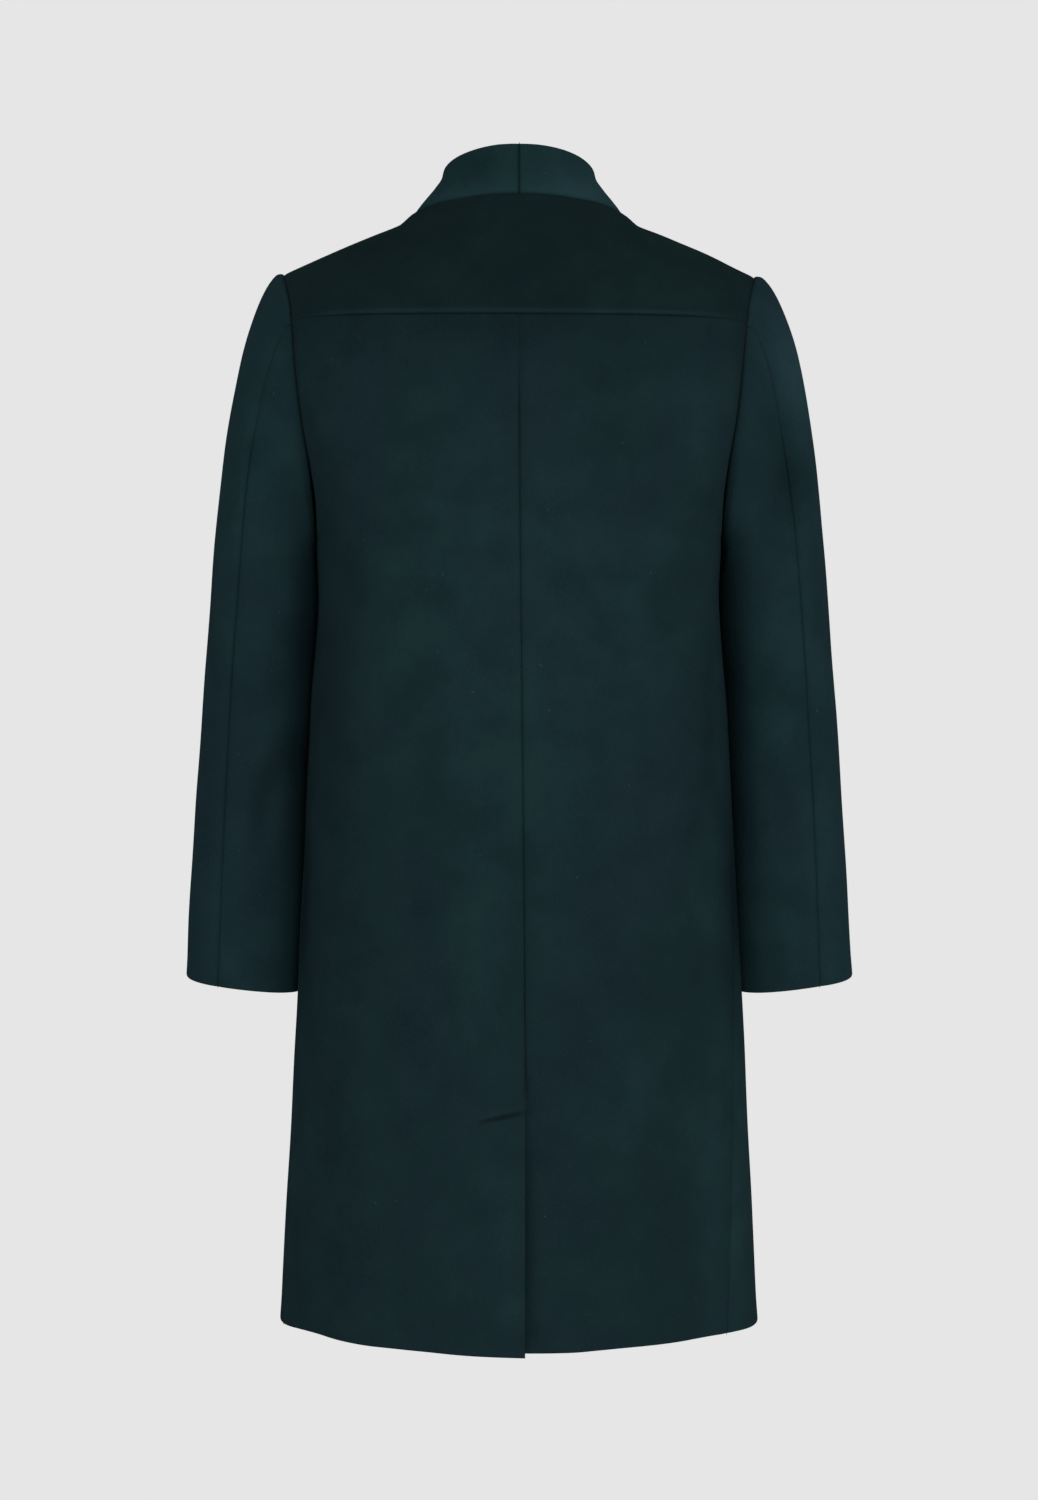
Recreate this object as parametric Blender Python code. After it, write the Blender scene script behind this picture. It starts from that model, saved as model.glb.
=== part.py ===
"""Long wool coat in its worn form, hollow, with the neck, cuffs and hem open.

Metres, +Z up. The wearer faces -Y and their left is +X. The origin lies midway between
the two points where the shoulder seams meet the neckline. Every piece is a cloth wall:
a grid of points on the outer face and the same grid moved in by the cloth's thickness.
"""
import math
from collections import namedtuple

import bpy
import numpy as np

# Cloth and seams
WALL = 0.0022
SEAM_GAP = 0.0003
SET_IN_GAP = 0.00045
LAP_SHIFT = 0.0036

# Levels above the neck points
HEM_Z = -0.956
HEM_DROP_LEFT = 0.0024
HEM_RISE_RIGHT = 0.0010
HEM_MOVE_POWER = 3
UNDERARM_Z = -0.285
YOKE_Z = -0.100

# Body sections: half width at the side, depth to the back and to the front, squareness of the corners
BodyLevel = namedtuple("BodyLevel", "name z half_width back_depth front_depth squareness")
BODY_LEVELS = (
    BodyLevel("hem", -0.956, 0.2070, 0.150, 0.146, -0.008),
    BodyLevel("knee", -0.800, 0.1993, 0.143, 0.139, 0.004),
    BodyLevel("hip", -0.620, 0.1903, 0.133, 0.131, 0.018),
    BodyLevel("waist", -0.440, 0.1820, 0.123, 0.124, 0.032),
    BodyLevel("underarm", -0.285, 0.1760, 0.121, 0.128, 0.048),
    BodyLevel("chest", -0.216, 0.1868, 0.123, 0.129, 0.064),
    BodyLevel("blade", -0.165, 0.1950, 0.124, 0.126, 0.075),
    BodyLevel("yoke", -0.100, 0.1990, 0.119, 0.112, 0.080),
)
SLEEVE_SQUARENESS = 0.035

# Soft vertical folds of the skirt: angle from the centre back, depth at the hem
SkirtFold = namedtuple("SkirtFold", "angle width depth top_z")
SKIRT_FOLDS = (
    SkirtFold(27.0, 10.0, -0.0040, -0.62),
    SkirtFold(44.0, 9.0, 0.0030, -0.55),
    SkirtFold(-22.0, 9.0, -0.0035, -0.66),
    SkirtFold(-41.0, 9.0, 0.0035, -0.50),
    SkirtFold(118.0, 11.0, -0.0045, -0.58),
    SkirtFold(-126.0, 12.0, -0.0040, -0.64),
    SkirtFold(146.0, 11.0, 0.0035, -0.60),
    SkirtFold(-150.0, 11.0, 0.0030, -0.56),
)

# Where the hem is drawn up between the centre back and the sides, left first
HemLift = namedtuple("HemLift", "side angle width height")
HEM_LIFTS = (
    HemLift(1, 58.0, 19.0, 0.0036),
    HemLift(-1, 44.0, 21.0, 0.0040),
)

# Seams of the body, as angles from the centre back
SIDE_SEAM_TOP = 88.0
SIDE_SEAM_HEM_LEFT = 80.0
SIDE_SEAM_HEM_RIGHT = 59.0
CENTRE_BACK_DRIFT = 0.0050
VENT_TOP_Z = -0.759
VENT_SLANT = 0.0075
VENT_LAP = 0.036
VENT_FADE = 0.070
FRONT_LAP = 0.035

# Shoulders, neckline and armholes
NECK_HALF = 0.0945
NECK_BACK_Y = 0.080
NECK_BACK_RISE = 0.0115
NECK_FRONT_Y = -0.104
NECK_FRONT_DROP = 0.083
NECK_POINT_Z = -0.004
SHOULDER_TIP = (0.2058, -0.006, -0.0485)
SHOULDER_TILT = 0.004
TILT_FADE_Z = -0.300
ARMHOLE_MID_Z = -0.165
ARMHOLE_BACK_Y = 0.065
ARMHOLE_FRONT_Y = -0.072
NECK_DROP_POWER = 1.8
BACK_NECK_RISE = 1.05
BACK_NECK_POWER = 1.7
YOKE_SHOULDER_RISE = 0.09
FRONT_NECK_RISE = 1.6
FRONT_NECK_POWER = 3
PATCH_HANDLE = 0.36

# Standing collar
COLLAR_TOP_HALF = 0.066
COLLAR_TOP_BACK_Y = 0.066
COLLAR_TOP_FRONT_Y = -0.084
COLLAR_TOP_SIDE_Z = 0.036
COLLAR_TOP_BACK_RISE = 0.0160
COLLAR_TOP_FRONT_DROP = 0.066
COLLAR_LIFT = 9.0
COLLAR_FOOT = 0.020
COLLAR_NECK = 0.012

# Sleeve sections: level at the middle, outer edge, half depth, middle of the depth
SleeveLevel = namedtuple("SleeveLevel", "name z outer_x half_depth middle_y")
SLEEVE_LEVELS = (
    SleeveLevel("biceps", -0.345, 0.2712, 0.0680, -0.022),
    SleeveLevel("elbow", -0.455, 0.2798, 0.0640, -0.027),
    SleeveLevel("forearm", -0.560, 0.2874, 0.0600, -0.035),
    SleeveLevel("cuff", -0.6655, 0.2935, 0.0565, -0.044),
)
SLEEVE_CLEAR = 0.0014
SLEEVE_INNER_ANGLES = range(120, 241, 10)
SLEEVE_ROLL_LEFT = 0.021
SLEEVE_ROLL_RIGHT = 0.0245
UNDERARM_ROLL_LOSS = 0.35
SLEEVE_LIFT_TOP = 36.0
SLEEVE_LIFT_UNDER = 145.0
SLEEVE_HANG = 0.65
SLEEVE_LEAN = 0.05
CAP_RING_CROWDING = 1.6
CUFF_TILT_OUT = 0.115
CUFF_TILT_FRONT = 0.075

# Soft folds at the elbows: level and angle round the sleeve from its outer side
SleeveFold = namedtuple("SleeveFold", "side z angle height width slant depth")
SLEEVE_FOLDS = (
    SleeveFold(1, -0.485, 150.0, 0.030, 45.0, 0.035, 0.0035),
    SleeveFold(1, -0.425, -120.0, 0.028, 50.0, -0.020, 0.0035),
    SleeveFold(-1, -0.425, 135.0, 0.032, 45.0, 0.030, 0.0030),
    SleeveFold(-1, -0.470, -115.0, 0.028, 50.0, -0.025, 0.0035),
)

# Rows and columns of the grids
SKIRT_ROWS = 15
ARMHOLE_ROWS = 6
PATCH_ROWS = 5
BACK_COLUMNS = 10
NECK_COLUMNS = 5
SIDE_COLUMNS = 7
FRONT_NECK_COLUMNS = 6
COLLAR_ROWS = 4
CAP_RINGS = 6
ARM_RINGS = 11
BACK_SEAM_ANGLE = 70.0
FRONT_SEAM_ROW = 3

# Small steps for reading the way a surface runs
STEP_ANGLE = 0.5
STEP_Z = 0.002
HALVINGS = 40
SAME = 1e-6

# Finish
Finish = namedtuple("Finish", "name colour roughness")
BODY_WOOL = Finish("teal_melton_body", (0.0095, 0.0242, 0.0296), 0.90)
YOKE_WOOL = Finish("teal_melton_yoke", (0.0075, 0.0165, 0.0180), 0.92)
COLLAR_WOOL = Finish("teal_melton_collar", (0.0120, 0.0310, 0.0380), 0.88)
SLEEVE_WOOL = Finish("teal_melton_sleeve", (0.0100, 0.0270, 0.0330), 0.89)

SHARP_EDGE = 50.0
COLLECTION = "long_coat"


def clear_scene():
    """Removes every object that the file starts with."""
    for item in list(bpy.data.objects):
        bpy.data.objects.remove(item, do_unlink=True)


def ease(value, low, high):
    """Smooth step from 0 at low to 1 at high."""
    share = min(1.0, max(0.0, (value - low) / (high - low)))
    return share * share * (3.0 - 2.0 * share)


def unit(vector):
    """Vectors along the last axis, made one long."""
    vector = np.asarray(vector, dtype=float)
    return vector / np.linalg.norm(vector, axis=-1, keepdims=True)


def smooth_value(levels, column, z):
    """Reads one column of a table of levels at height z, on a smooth curve through its rows."""
    rows = sorted(levels, key=lambda row: row.z)
    heights = np.array([row.z for row in rows])
    values = np.array([getattr(row, column) for row in rows])
    slopes = np.gradient(values, heights)
    if z <= heights[0]:
        return values[0] + slopes[0] * (z - heights[0])
    if z >= heights[-1]:
        return values[-1] + slopes[-1] * (z - heights[-1])
    index = int(np.searchsorted(heights, z)) - 1
    span = heights[index + 1] - heights[index]
    t = (z - heights[index]) / span
    start = (1 + 2 * t) * (1 - t) ** 2 * values[index] + t * (1 - t) ** 2 * span * slopes[index]
    end = t * t * (3 - 2 * t) * values[index + 1] - t * t * (1 - t) * span * slopes[index + 1]
    return start + end


def squared_round(angle, squareness):
    """Sine and cosine of a rounded section, squarer than an ellipse where squareness is over 0."""
    sine = (math.sin(angle) + squareness * math.sin(3 * angle)) / (1 - squareness)
    cosine = (math.cos(angle) - squareness * math.cos(3 * angle)) / (1 - squareness)
    return sine, cosine


def skirt_wave(angle, z):
    """How far the soft folds of the skirt move the cloth out at an angle in degrees."""
    move = 0.0
    for fold in SKIRT_FOLDS:
        turn = (angle - fold.angle + 180.0) % 360.0 - 180.0
        fall = ease(fold.top_z - z, 0.0, fold.top_z - HEM_Z)
        move += fold.depth * fall * math.exp(-((turn / fold.width) ** 2))
    return move


def body_point(angle, z):
    """Point of the body's outer face at an angle from the centre back, degrees, left positive."""
    sine, cosine = squared_round(math.radians(angle), smooth_value(BODY_LEVELS, "squareness", z))
    depth = smooth_value(BODY_LEVELS, "back_depth" if cosine > 0 else "front_depth", z)
    half = smooth_value(BODY_LEVELS, "half_width", z)
    wave = skirt_wave(angle, z)
    out = math.radians(angle)
    return np.array((half * sine + wave * math.sin(out), depth * cosine + wave * math.cos(out), z))


def body_normal(angle, z):
    """Outward normal of the body's face."""
    round_way = body_point(angle + STEP_ANGLE, z) - body_point(angle - STEP_ANGLE, z)
    up_way = body_point(angle, z + STEP_Z) - body_point(angle, z - STEP_Z)
    return unit(np.cross(up_way, round_way))


def hem_lift(side, angle, z):
    """How far the hem is drawn up at an angle from the centre back."""
    rise = sum(lift.height * math.exp(-(((angle - lift.angle) / lift.width) ** 2))
               for lift in HEM_LIFTS if lift.side == side)
    return rise * ease(-z, -VENT_TOP_Z, -HEM_Z)


def angle_for(length, angle, z):
    """Angle that takes up a length of cloth round the body."""
    ahead, behind = body_point(angle + STEP_ANGLE, z), body_point(angle - STEP_ANGLE, z)
    return length * 2.0 * STEP_ANGLE / np.linalg.norm(ahead - behind)


def angle_at_depth(z, y):
    """Angle from the centre back, on the left, where the body's face has depth y."""
    low, high = 0.0, 180.0
    for _ in range(HALVINGS):
        middle = 0.5 * (low + high)
        if body_point(middle, z)[1] > y:
            low = middle
        else:
            high = middle
    return 0.5 * (low + high)


def centre_back_angle(z):
    """The centre back seam drifts towards the wearer's right on its way down."""
    drift = -CENTRE_BACK_DRIFT * ease(-z, -YOKE_Z, -VENT_TOP_Z)
    return angle_for(drift, 0.0, z)


def side_seam_angle(side, z):
    """Angle of a side seam, from the underarm down to the hem."""
    hem_angle = SIDE_SEAM_HEM_LEFT if side > 0 else SIDE_SEAM_HEM_RIGHT
    share = (UNDERARM_Z - z) / (UNDERARM_Z - HEM_Z)
    return SIDE_SEAM_TOP + (hem_angle - SIDE_SEAM_TOP) * min(1.0, max(0.0, share))


def armhole_angle(z, front):
    """Angle of the armhole's edge at height z, on the back or on the front."""
    reach = ARMHOLE_MID_Z - UNDERARM_Z
    round_off = math.sqrt(max(0.0, 1.0 - ((z - ARMHOLE_MID_Z) / reach) ** 2))
    deepest = ARMHOLE_FRONT_Y if front else ARMHOLE_BACK_Y
    at_seam = body_point(SIDE_SEAM_TOP, UNDERARM_Z)[1]
    return angle_at_depth(z, at_seam * (1.0 - round_off) + deepest * round_off)


def body_rows():
    """Heights of the level rows: hem to underarm, then up the armhole to the yoke's level."""
    rows = list(np.linspace(HEM_Z, UNDERARM_Z, SKIRT_ROWS + 1))
    nearest = min(rows[1:-1], key=lambda z: abs(z - VENT_TOP_Z))
    rows.remove(nearest)
    rows += [VENT_TOP_Z, VENT_TOP_Z - VENT_SLANT]
    rows.sort()
    reach = ARMHOLE_MID_Z - UNDERARM_Z
    last_turn = math.acos((ARMHOLE_MID_Z - YOKE_Z) / reach)
    for turn in np.linspace(0.0, last_turn, ARMHOLE_ROWS + 1)[1:]:
        rows.append(ARMHOLE_MID_Z - reach * math.cos(turn))
    return rows


def edge_angle(side, z, front):
    """Outer edge of a body panel: the side seam, and the armhole above it."""
    if z <= UNDERARM_Z + SAME:
        return side_seam_angle(side, z)
    return armhole_angle(z, front)


def neckline_point(turn):
    """Point of the neckline at a turn in degrees, 0 at the centre back and 180 at the front."""
    sine, cosine = math.sin(math.radians(turn)), math.cos(math.radians(turn))
    if cosine >= 0:
        return np.array((NECK_HALF * sine, NECK_BACK_Y * cosine, NECK_POINT_Z + NECK_BACK_RISE * cosine))
    drop = NECK_FRONT_DROP * (-cosine) ** NECK_DROP_POWER
    return np.array((NECK_HALF * sine, NECK_FRONT_Y * -cosine, NECK_POINT_Z - drop))


def collar_top_point(turn):
    """Point of the collar's upper edge at the same turn as the neckline."""
    sine, cosine = math.sin(math.radians(turn)), math.cos(math.radians(turn))
    if cosine >= 0:
        rise = COLLAR_TOP_BACK_RISE * cosine
        return np.array((COLLAR_TOP_HALF * sine, COLLAR_TOP_BACK_Y * cosine, COLLAR_TOP_SIDE_Z + rise))
    drop = COLLAR_TOP_FRONT_DROP * (-cosine) ** NECK_DROP_POWER
    return np.array((COLLAR_TOP_HALF * sine, COLLAR_TOP_FRONT_Y * -cosine, COLLAR_TOP_SIDE_Z - drop))


def shoulder_point(share):
    """Point of the left shoulder seam, from the neck point to the shoulder's tip."""
    return neckline_point(90.0) * (1.0 - share) + np.array(SHOULDER_TIP) * share


def shoulder_normal():
    """Normal on the left shoulder seam, square to the seam's line and to the way forward."""
    along = unit(np.array(SHOULDER_TIP) - neckline_point(90.0))
    return unit(np.cross((0.0, -1.0, 0.0), along))


def lap_turn():
    """Turn past the centre front that takes up the fronts' lap along the neckline."""
    return math.degrees(math.asin(FRONT_LAP / NECK_HALF))


def front_neck_turns():
    """Turns of a front's neckline columns, from its edge back to the neck point."""
    lap = lap_turn()
    plain = np.linspace(180.0 - lap, 90.0, FRONT_NECK_COLUMNS - 1)
    return [180.0 + lap, 180.0] + list(plain)


def bezier(points, t):
    """Point of a cubic curve with two ends and two handles."""
    first, second, third, last = points
    s = 1.0 - t
    return s ** 3 * first + 3 * s * s * t * second + 3 * s * t * t * third + t ** 3 * last


def shoulder_patch(angles, tops, arrivals):
    """Rows above the yoke's level: each column curves from the body up to the neck or shoulder."""
    rows = []
    for share in np.linspace(0.0, 1.0, PATCH_ROWS + 1)[1:]:
        row = []
        for angle, top, arrival in zip(angles, tops, arrivals):
            foot = body_point(angle, YOKE_Z)
            rise = unit(foot - body_point(angle, YOKE_Z - 2.0 * STEP_Z))
            reach = PATCH_HANDLE * np.linalg.norm(top - foot)
            row.append(bezier((foot, foot + reach * rise, top - reach * unit(arrival), top), share))
        rows.append(row)
    return rows


def grid_normals(points, flip):
    """Outward normals of a grid of points, from the ways along its rows and columns."""
    up_way = np.gradient(points, axis=0)
    along = np.gradient(points, axis=1)
    return unit(np.cross(up_way, along)) * flip


def settle(points):
    """One shoulder sits a little higher than the other; the difference fades out downwards."""
    fade = np.clip((points[..., 2] - TILT_FADE_Z) / (YOKE_Z - TILT_FADE_Z), 0.0, 1.0)
    moved = points.copy()
    moved[..., 2] += SHOULDER_TILT * points[..., 0] * fade * fade * (3.0 - 2.0 * fade)
    return moved


def draw_in(outer, inner, edges):
    """Moves named edges of a wall towards its middle, square to the edge, to leave a seam's gap."""
    outer, inner = outer.copy(), inner.copy()
    steps = {
        "first_row": ((0, slice(None)), (1, slice(None))),
        "last_row": ((-1, slice(None)), (-2, slice(None))),
        "first_column": ((slice(None), 0), (slice(None), 1)),
        "last_column": ((slice(None), -1), (slice(None), -2)),
    }
    for edge, gap in edges.items():
        at, beside = steps[edge]
        along = unit(np.gradient(outer[at], axis=0))
        way = outer[beside] - outer[at]
        move = unit(way - np.sum(way * along, axis=-1, keepdims=True) * along) * gap
        outer[at] += move
        inner[at] += move
    return outer, inner


def wool(finish):
    """Plain wool material."""
    material = bpy.data.materials.get(finish.name)
    if material is None:
        material = bpy.data.materials.new(finish.name)
        material.use_nodes = True
        shader = material.node_tree.nodes["Principled BSDF"]
        shader.inputs["Base Color"].default_value = (*finish.colour, 1.0)
        shader.inputs["Roughness"].default_value = finish.roughness
        shader.inputs["Metallic"].default_value = 0.0
    return material


def wall_faces(rows, columns):
    """Faces of a wall: the outer grid, the inner grid turned round, and the rim between them."""
    def corner(row, column, layer):
        return layer * rows * columns + row * columns + column

    faces = []
    for row in range(rows - 1):
        for column in range(columns - 1):
            ring = ((row, column), (row, column + 1), (row + 1, column + 1), (row + 1, column))
            faces.append([corner(*place, 0) for place in ring])
            faces.append([corner(*place, 1) for place in reversed(ring)])
    border = [(0, column) for column in range(columns)]
    border += [(row, columns - 1) for row in range(1, rows)]
    border += [(rows - 1, column) for column in range(columns - 2, -1, -1)]
    border += [(row, 0) for row in range(rows - 2, 0, -1)]
    for here, there in zip(border, border[1:] + border[:1]):
        faces.append([corner(*there, 0), corner(*here, 0), corner(*here, 1), corner(*there, 1)])
    return faces


def add_wall(name, outer, normals, edges, finish, lap=None):
    """Makes one cloth piece from its outer points and normals, and links it."""
    inner = outer - WALL * normals
    if lap is not None:
        outer, inner = outer + lap, inner + lap
    outer, inner = draw_in(outer, inner, edges)
    outer, inner = settle(outer), settle(inner)
    rows, columns = outer.shape[:2]
    mesh = bpy.data.meshes.new(name)
    corners = np.concatenate((outer.reshape(-1, 3), inner.reshape(-1, 3)))
    mesh.from_pydata(corners.tolist(), [], wall_faces(rows, columns))
    across, up = outer[0, 1] - outer[0, 0], outer[1, 0] - outer[0, 0]
    if np.dot(np.cross(across, up), normals[0, 0]) < 0:
        mesh.flip_normals()
    mesh.update()
    mesh.shade_smooth()
    mesh.set_sharp_from_angle(angle=math.radians(SHARP_EDGE))
    mesh.materials.append(wool(finish))
    piece = bpy.data.objects.new(name, mesh)
    bpy.data.collections[COLLECTION].objects.link(piece)


def mirrored(points, side):
    """Points of a left piece, mirrored for the right side."""
    return points * np.array((side, 1.0, 1.0))


def level_grid(side, rows, row_angles):
    """Points and normals of level rows on the body's face."""
    points, normals = [], []
    for angles, z in zip(row_angles, rows):
        lifted = [z + hem_lift(side, angle, z) for angle in angles]
        points.append([body_point(side * angle, level) for angle, level in zip(angles, lifted)])
        normals.append([body_normal(side * angle, z) for angle in angles])
    return np.array(points), np.array(normals)


def back_shares():
    """Shares of a back panel's width at which its columns stand."""
    return np.linspace(0.0, 1.0, BACK_COLUMNS + 1)


def make_back(side, name):
    """One back panel, from the hem to the yoke; the right one has the vent's underlap."""
    rows = body_rows()
    row_angles = []
    for z in rows:
        middle = side * centre_back_angle(z)
        edge = edge_angle(side, z, front=False)
        angles = [middle + (edge - middle) * share for share in back_shares()]
        if side < 0 and z < VENT_TOP_Z - SAME:
            angles[0] = middle - angle_for(VENT_LAP, 0.0, z)
            angles[1] = middle
        row_angles.append(angles)
    points, normals = level_grid(side, rows, row_angles)
    lap = np.zeros_like(points)
    hem_move = -HEM_DROP_LEFT if side > 0 else HEM_RISE_RIGHT
    for index, z in enumerate(rows):
        fall = ease(-z, -VENT_TOP_Z, -HEM_Z)
        points[index, :, 2] += hem_move * (1.0 - back_shares()) ** HEM_MOVE_POWER * fall
        if side < 0:
            lap[index, :2, 1] = -LAP_SHIFT * ease(VENT_TOP_Z + VENT_FADE - z, 0.0, VENT_FADE)
    edges = {"first_column": SEAM_GAP / 2, "last_column": SEAM_GAP / 2, "last_row": SEAM_GAP / 2}
    add_wall(name, points, normals, edges, BODY_WOOL, lap)
    return points[SKIRT_ROWS + 1:, -1], normals[SKIRT_ROWS + 1:, -1]


def yoke_half():
    """Points and normals of the left half of the yoke, centre back first."""
    middle = centre_back_angle(YOKE_Z)
    edge = armhole_angle(YOKE_Z, front=False)
    angles = [middle + (edge - middle) * share for share in back_shares()]
    tops, arrivals = [], []
    for column in range(BACK_COLUMNS + 1):
        if column <= NECK_COLUMNS:
            share = column / NECK_COLUMNS
            tops.append(neckline_point(90.0 * share))
            rise = BACK_NECK_RISE * (1.0 - share) ** BACK_NECK_POWER + YOKE_SHOULDER_RISE * share
            arrivals.append((0.0, -1.0, rise))
        else:
            tops.append(shoulder_point((column - NECK_COLUMNS) / (BACK_COLUMNS - NECK_COLUMNS)))
            arrivals.append((0.0, -1.0, YOKE_SHOULDER_RISE))
    rows = [[body_point(angle, YOKE_Z) for angle in angles]] + shoulder_patch(angles, tops, arrivals)
    points = np.array(rows)
    normals = grid_normals(points, 1.0)
    normals[0] = [body_normal(angle, YOKE_Z) for angle in angles]
    normals[:, 0] = unit(normals[:, 0] * np.array((0.0, 1.0, 1.0)))
    normals[-1, NECK_COLUMNS:] = shoulder_normal()
    return points, normals


def make_yoke():
    """The yoke in one piece over both shoulders; hands back its left armhole edge and neckline."""
    left, left_normals = yoke_half()
    right = mirrored(left, -1)[:, :0:-1]
    right_normals = mirrored(left_normals, -1)[:, :0:-1]
    points = np.concatenate((right, left), axis=1)
    normals = np.concatenate((right_normals, left_normals), axis=1)
    edges = {"first_row": SEAM_GAP / 2, "last_row": SEAM_GAP / 2,
             "first_column": SEAM_GAP / 2, "last_column": SEAM_GAP / 2}
    add_wall("yoke", points, normals, edges, YOKE_WOOL)
    neck = slice(0, NECK_COLUMNS + 1)
    return left[1:, -1], left_normals[1:, -1], left_normals[-1, neck]


def front_columns(side, z):
    """Angles of a front's columns at a level: its edge, the centre front, the lap's end, the side."""
    lap = angle_for(FRONT_LAP, 180.0, z)
    edge = edge_angle(side, z, front=True)
    plain = np.linspace(180.0 - lap, edge, SIDE_COLUMNS + 2)
    return [180.0 + lap, 180.0] + list(plain)


def make_front(side, name):
    """One front, from the hem to the shoulder seam and neckline; the left one lies under."""
    rows = body_rows()
    row_angles = [front_columns(side, z) for z in rows]
    points, normals = level_grid(side, rows, row_angles)
    tops = [neckline_point(turn) for turn in front_neck_turns()]
    arrivals = []
    for turn in front_neck_turns():
        share = abs(180.0 - turn) / 90.0
        arrivals.append((0.0, 1.0, FRONT_NECK_RISE * (1.0 - share ** FRONT_NECK_POWER)))
    shoulder_columns = len(row_angles[0]) - len(tops)
    for column in range(1, shoulder_columns + 1):
        tops.append(shoulder_point(column / shoulder_columns))
        arrivals.append((0.0, 1.0, 0.0))
    patch = mirrored(np.array(shoulder_patch(row_angles[-1], tops, arrivals)), side)
    level_count = len(rows)
    points = np.concatenate((points, patch))
    normals = np.concatenate((normals, grid_normals(points, -side)[level_count:]))
    normals[-1, -shoulder_columns - 1:] = mirrored(shoulder_normal(), side)
    lap = np.zeros_like(points)
    if side > 0:
        lap[:, :3, 1] = LAP_SHIFT
    edges = {"last_column": SEAM_GAP / 2, "last_row": SEAM_GAP / 2}
    add_wall(name, points, normals, edges, BODY_WOOL, lap)
    armhole = slice(SKIRT_ROWS + 1, None)
    neck = normals[-1, :len(front_neck_turns())]
    return points[armhole, -1], normals[armhole, -1], neck


def make_collar(side, name, back_normals, front_normals):
    """Half of the standing collar, from the centre back seam round to the front's edge."""
    turns = list(np.linspace(0.0, 90.0, NECK_COLUMNS + 1)) + front_neck_turns()[-2::-1]
    seats = np.concatenate((back_normals, front_normals[-2::-1]))
    rows = [[] for _ in range(COLLAR_ROWS + 1)]
    lift = math.radians(COLLAR_LIFT)
    for turn, seat in zip(turns, seats):
        foot, top = neckline_point(turn), collar_top_point(turn)
        along = unit(neckline_point(turn + STEP_ANGLE) - neckline_point(turn - STEP_ANGLE))
        inward = top - foot
        inward = unit(inward - np.dot(inward, along) * along - np.dot(inward, seat) * seat)
        start = math.cos(lift) * inward + math.sin(lift) * seat
        handles = (foot, foot + COLLAR_FOOT * start, top - np.array((0.0, 0.0, COLLAR_NECK)), top)
        for row, share in zip(rows, np.linspace(0.0, 1.0, COLLAR_ROWS + 1)):
            row.append(bezier(handles, share))
    points = np.array(rows)
    normals = grid_normals(points, 1.0)
    normals[:, 0] = unit(normals[:, 0] * np.array((0.0, 1.0, 1.0)))
    lap = np.zeros_like(points)
    if side > 0:
        lap[:, -3:, 1] = LAP_SHIFT
    edges = {"first_row": SET_IN_GAP, "first_column": SEAM_GAP / 2}
    add_wall(name, mirrored(points, side), mirrored(normals, side), edges, COLLAR_WOOL, lap)


def sleeve_half_width(z, outer_x, half_depth, middle_y):
    """Largest half width of a sleeve at which its inner side is just clear of the body."""
    widths = []
    for angle in SLEEVE_INNER_ANGLES:
        sine, cosine = squared_round(math.radians(angle), SLEEVE_SQUARENESS)
        beside = body_point(angle_at_depth(z, middle_y + half_depth * sine), z)[0]
        widths.append((outer_x - beside - SLEEVE_CLEAR) / (1.0 - cosine))
    return min(widths)


def sleeve_section(side, angle, z):
    """Point of the left sleeve at an angle round it from its outer side, back positive."""
    outer_x = smooth_value(SLEEVE_LEVELS, "outer_x", z)
    middle_y = smooth_value(SLEEVE_LEVELS, "middle_y", z)
    half_depth = smooth_value(SLEEVE_LEVELS, "half_depth", z)
    half_width = sleeve_half_width(z, outer_x, half_depth, middle_y)
    sine, cosine = squared_round(math.radians(angle), SLEEVE_SQUARENESS)
    dip = 0.0
    for fold in SLEEVE_FOLDS:
        if fold.side == side:
            turn = (angle - fold.angle + 180.0) % 360.0 - 180.0
            rise = z - fold.z - fold.slant * turn / fold.width
            dip += fold.depth * math.exp(-((turn / fold.width) ** 2) - (rise / fold.height) ** 2)
    across = (half_width - dip) * cosine
    back = (half_depth - dip) * sine
    droop = ease(-z, -SLEEVE_LEVELS[0].z, -SLEEVE_LEVELS[-1].z)
    tilt = droop * (CUFF_TILT_OUT * across - CUFF_TILT_FRONT * back)
    return np.array((outer_x - half_width + across, middle_y + back, z + tilt))


def sleeve_angles():
    """Angles round the sleeve that belong to the armhole's points, from the underarm up the back
    to the shoulder and down the front."""
    lower = list(np.linspace(180.0, BACK_SEAM_ANGLE, ARMHOLE_ROWS + 1))
    upper = list(np.linspace(BACK_SEAM_ANGLE, 0.0, PATCH_ROWS + 1))[1:]
    back = lower + upper
    return back + [-angle for angle in back[-2:0:-1]]


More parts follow.
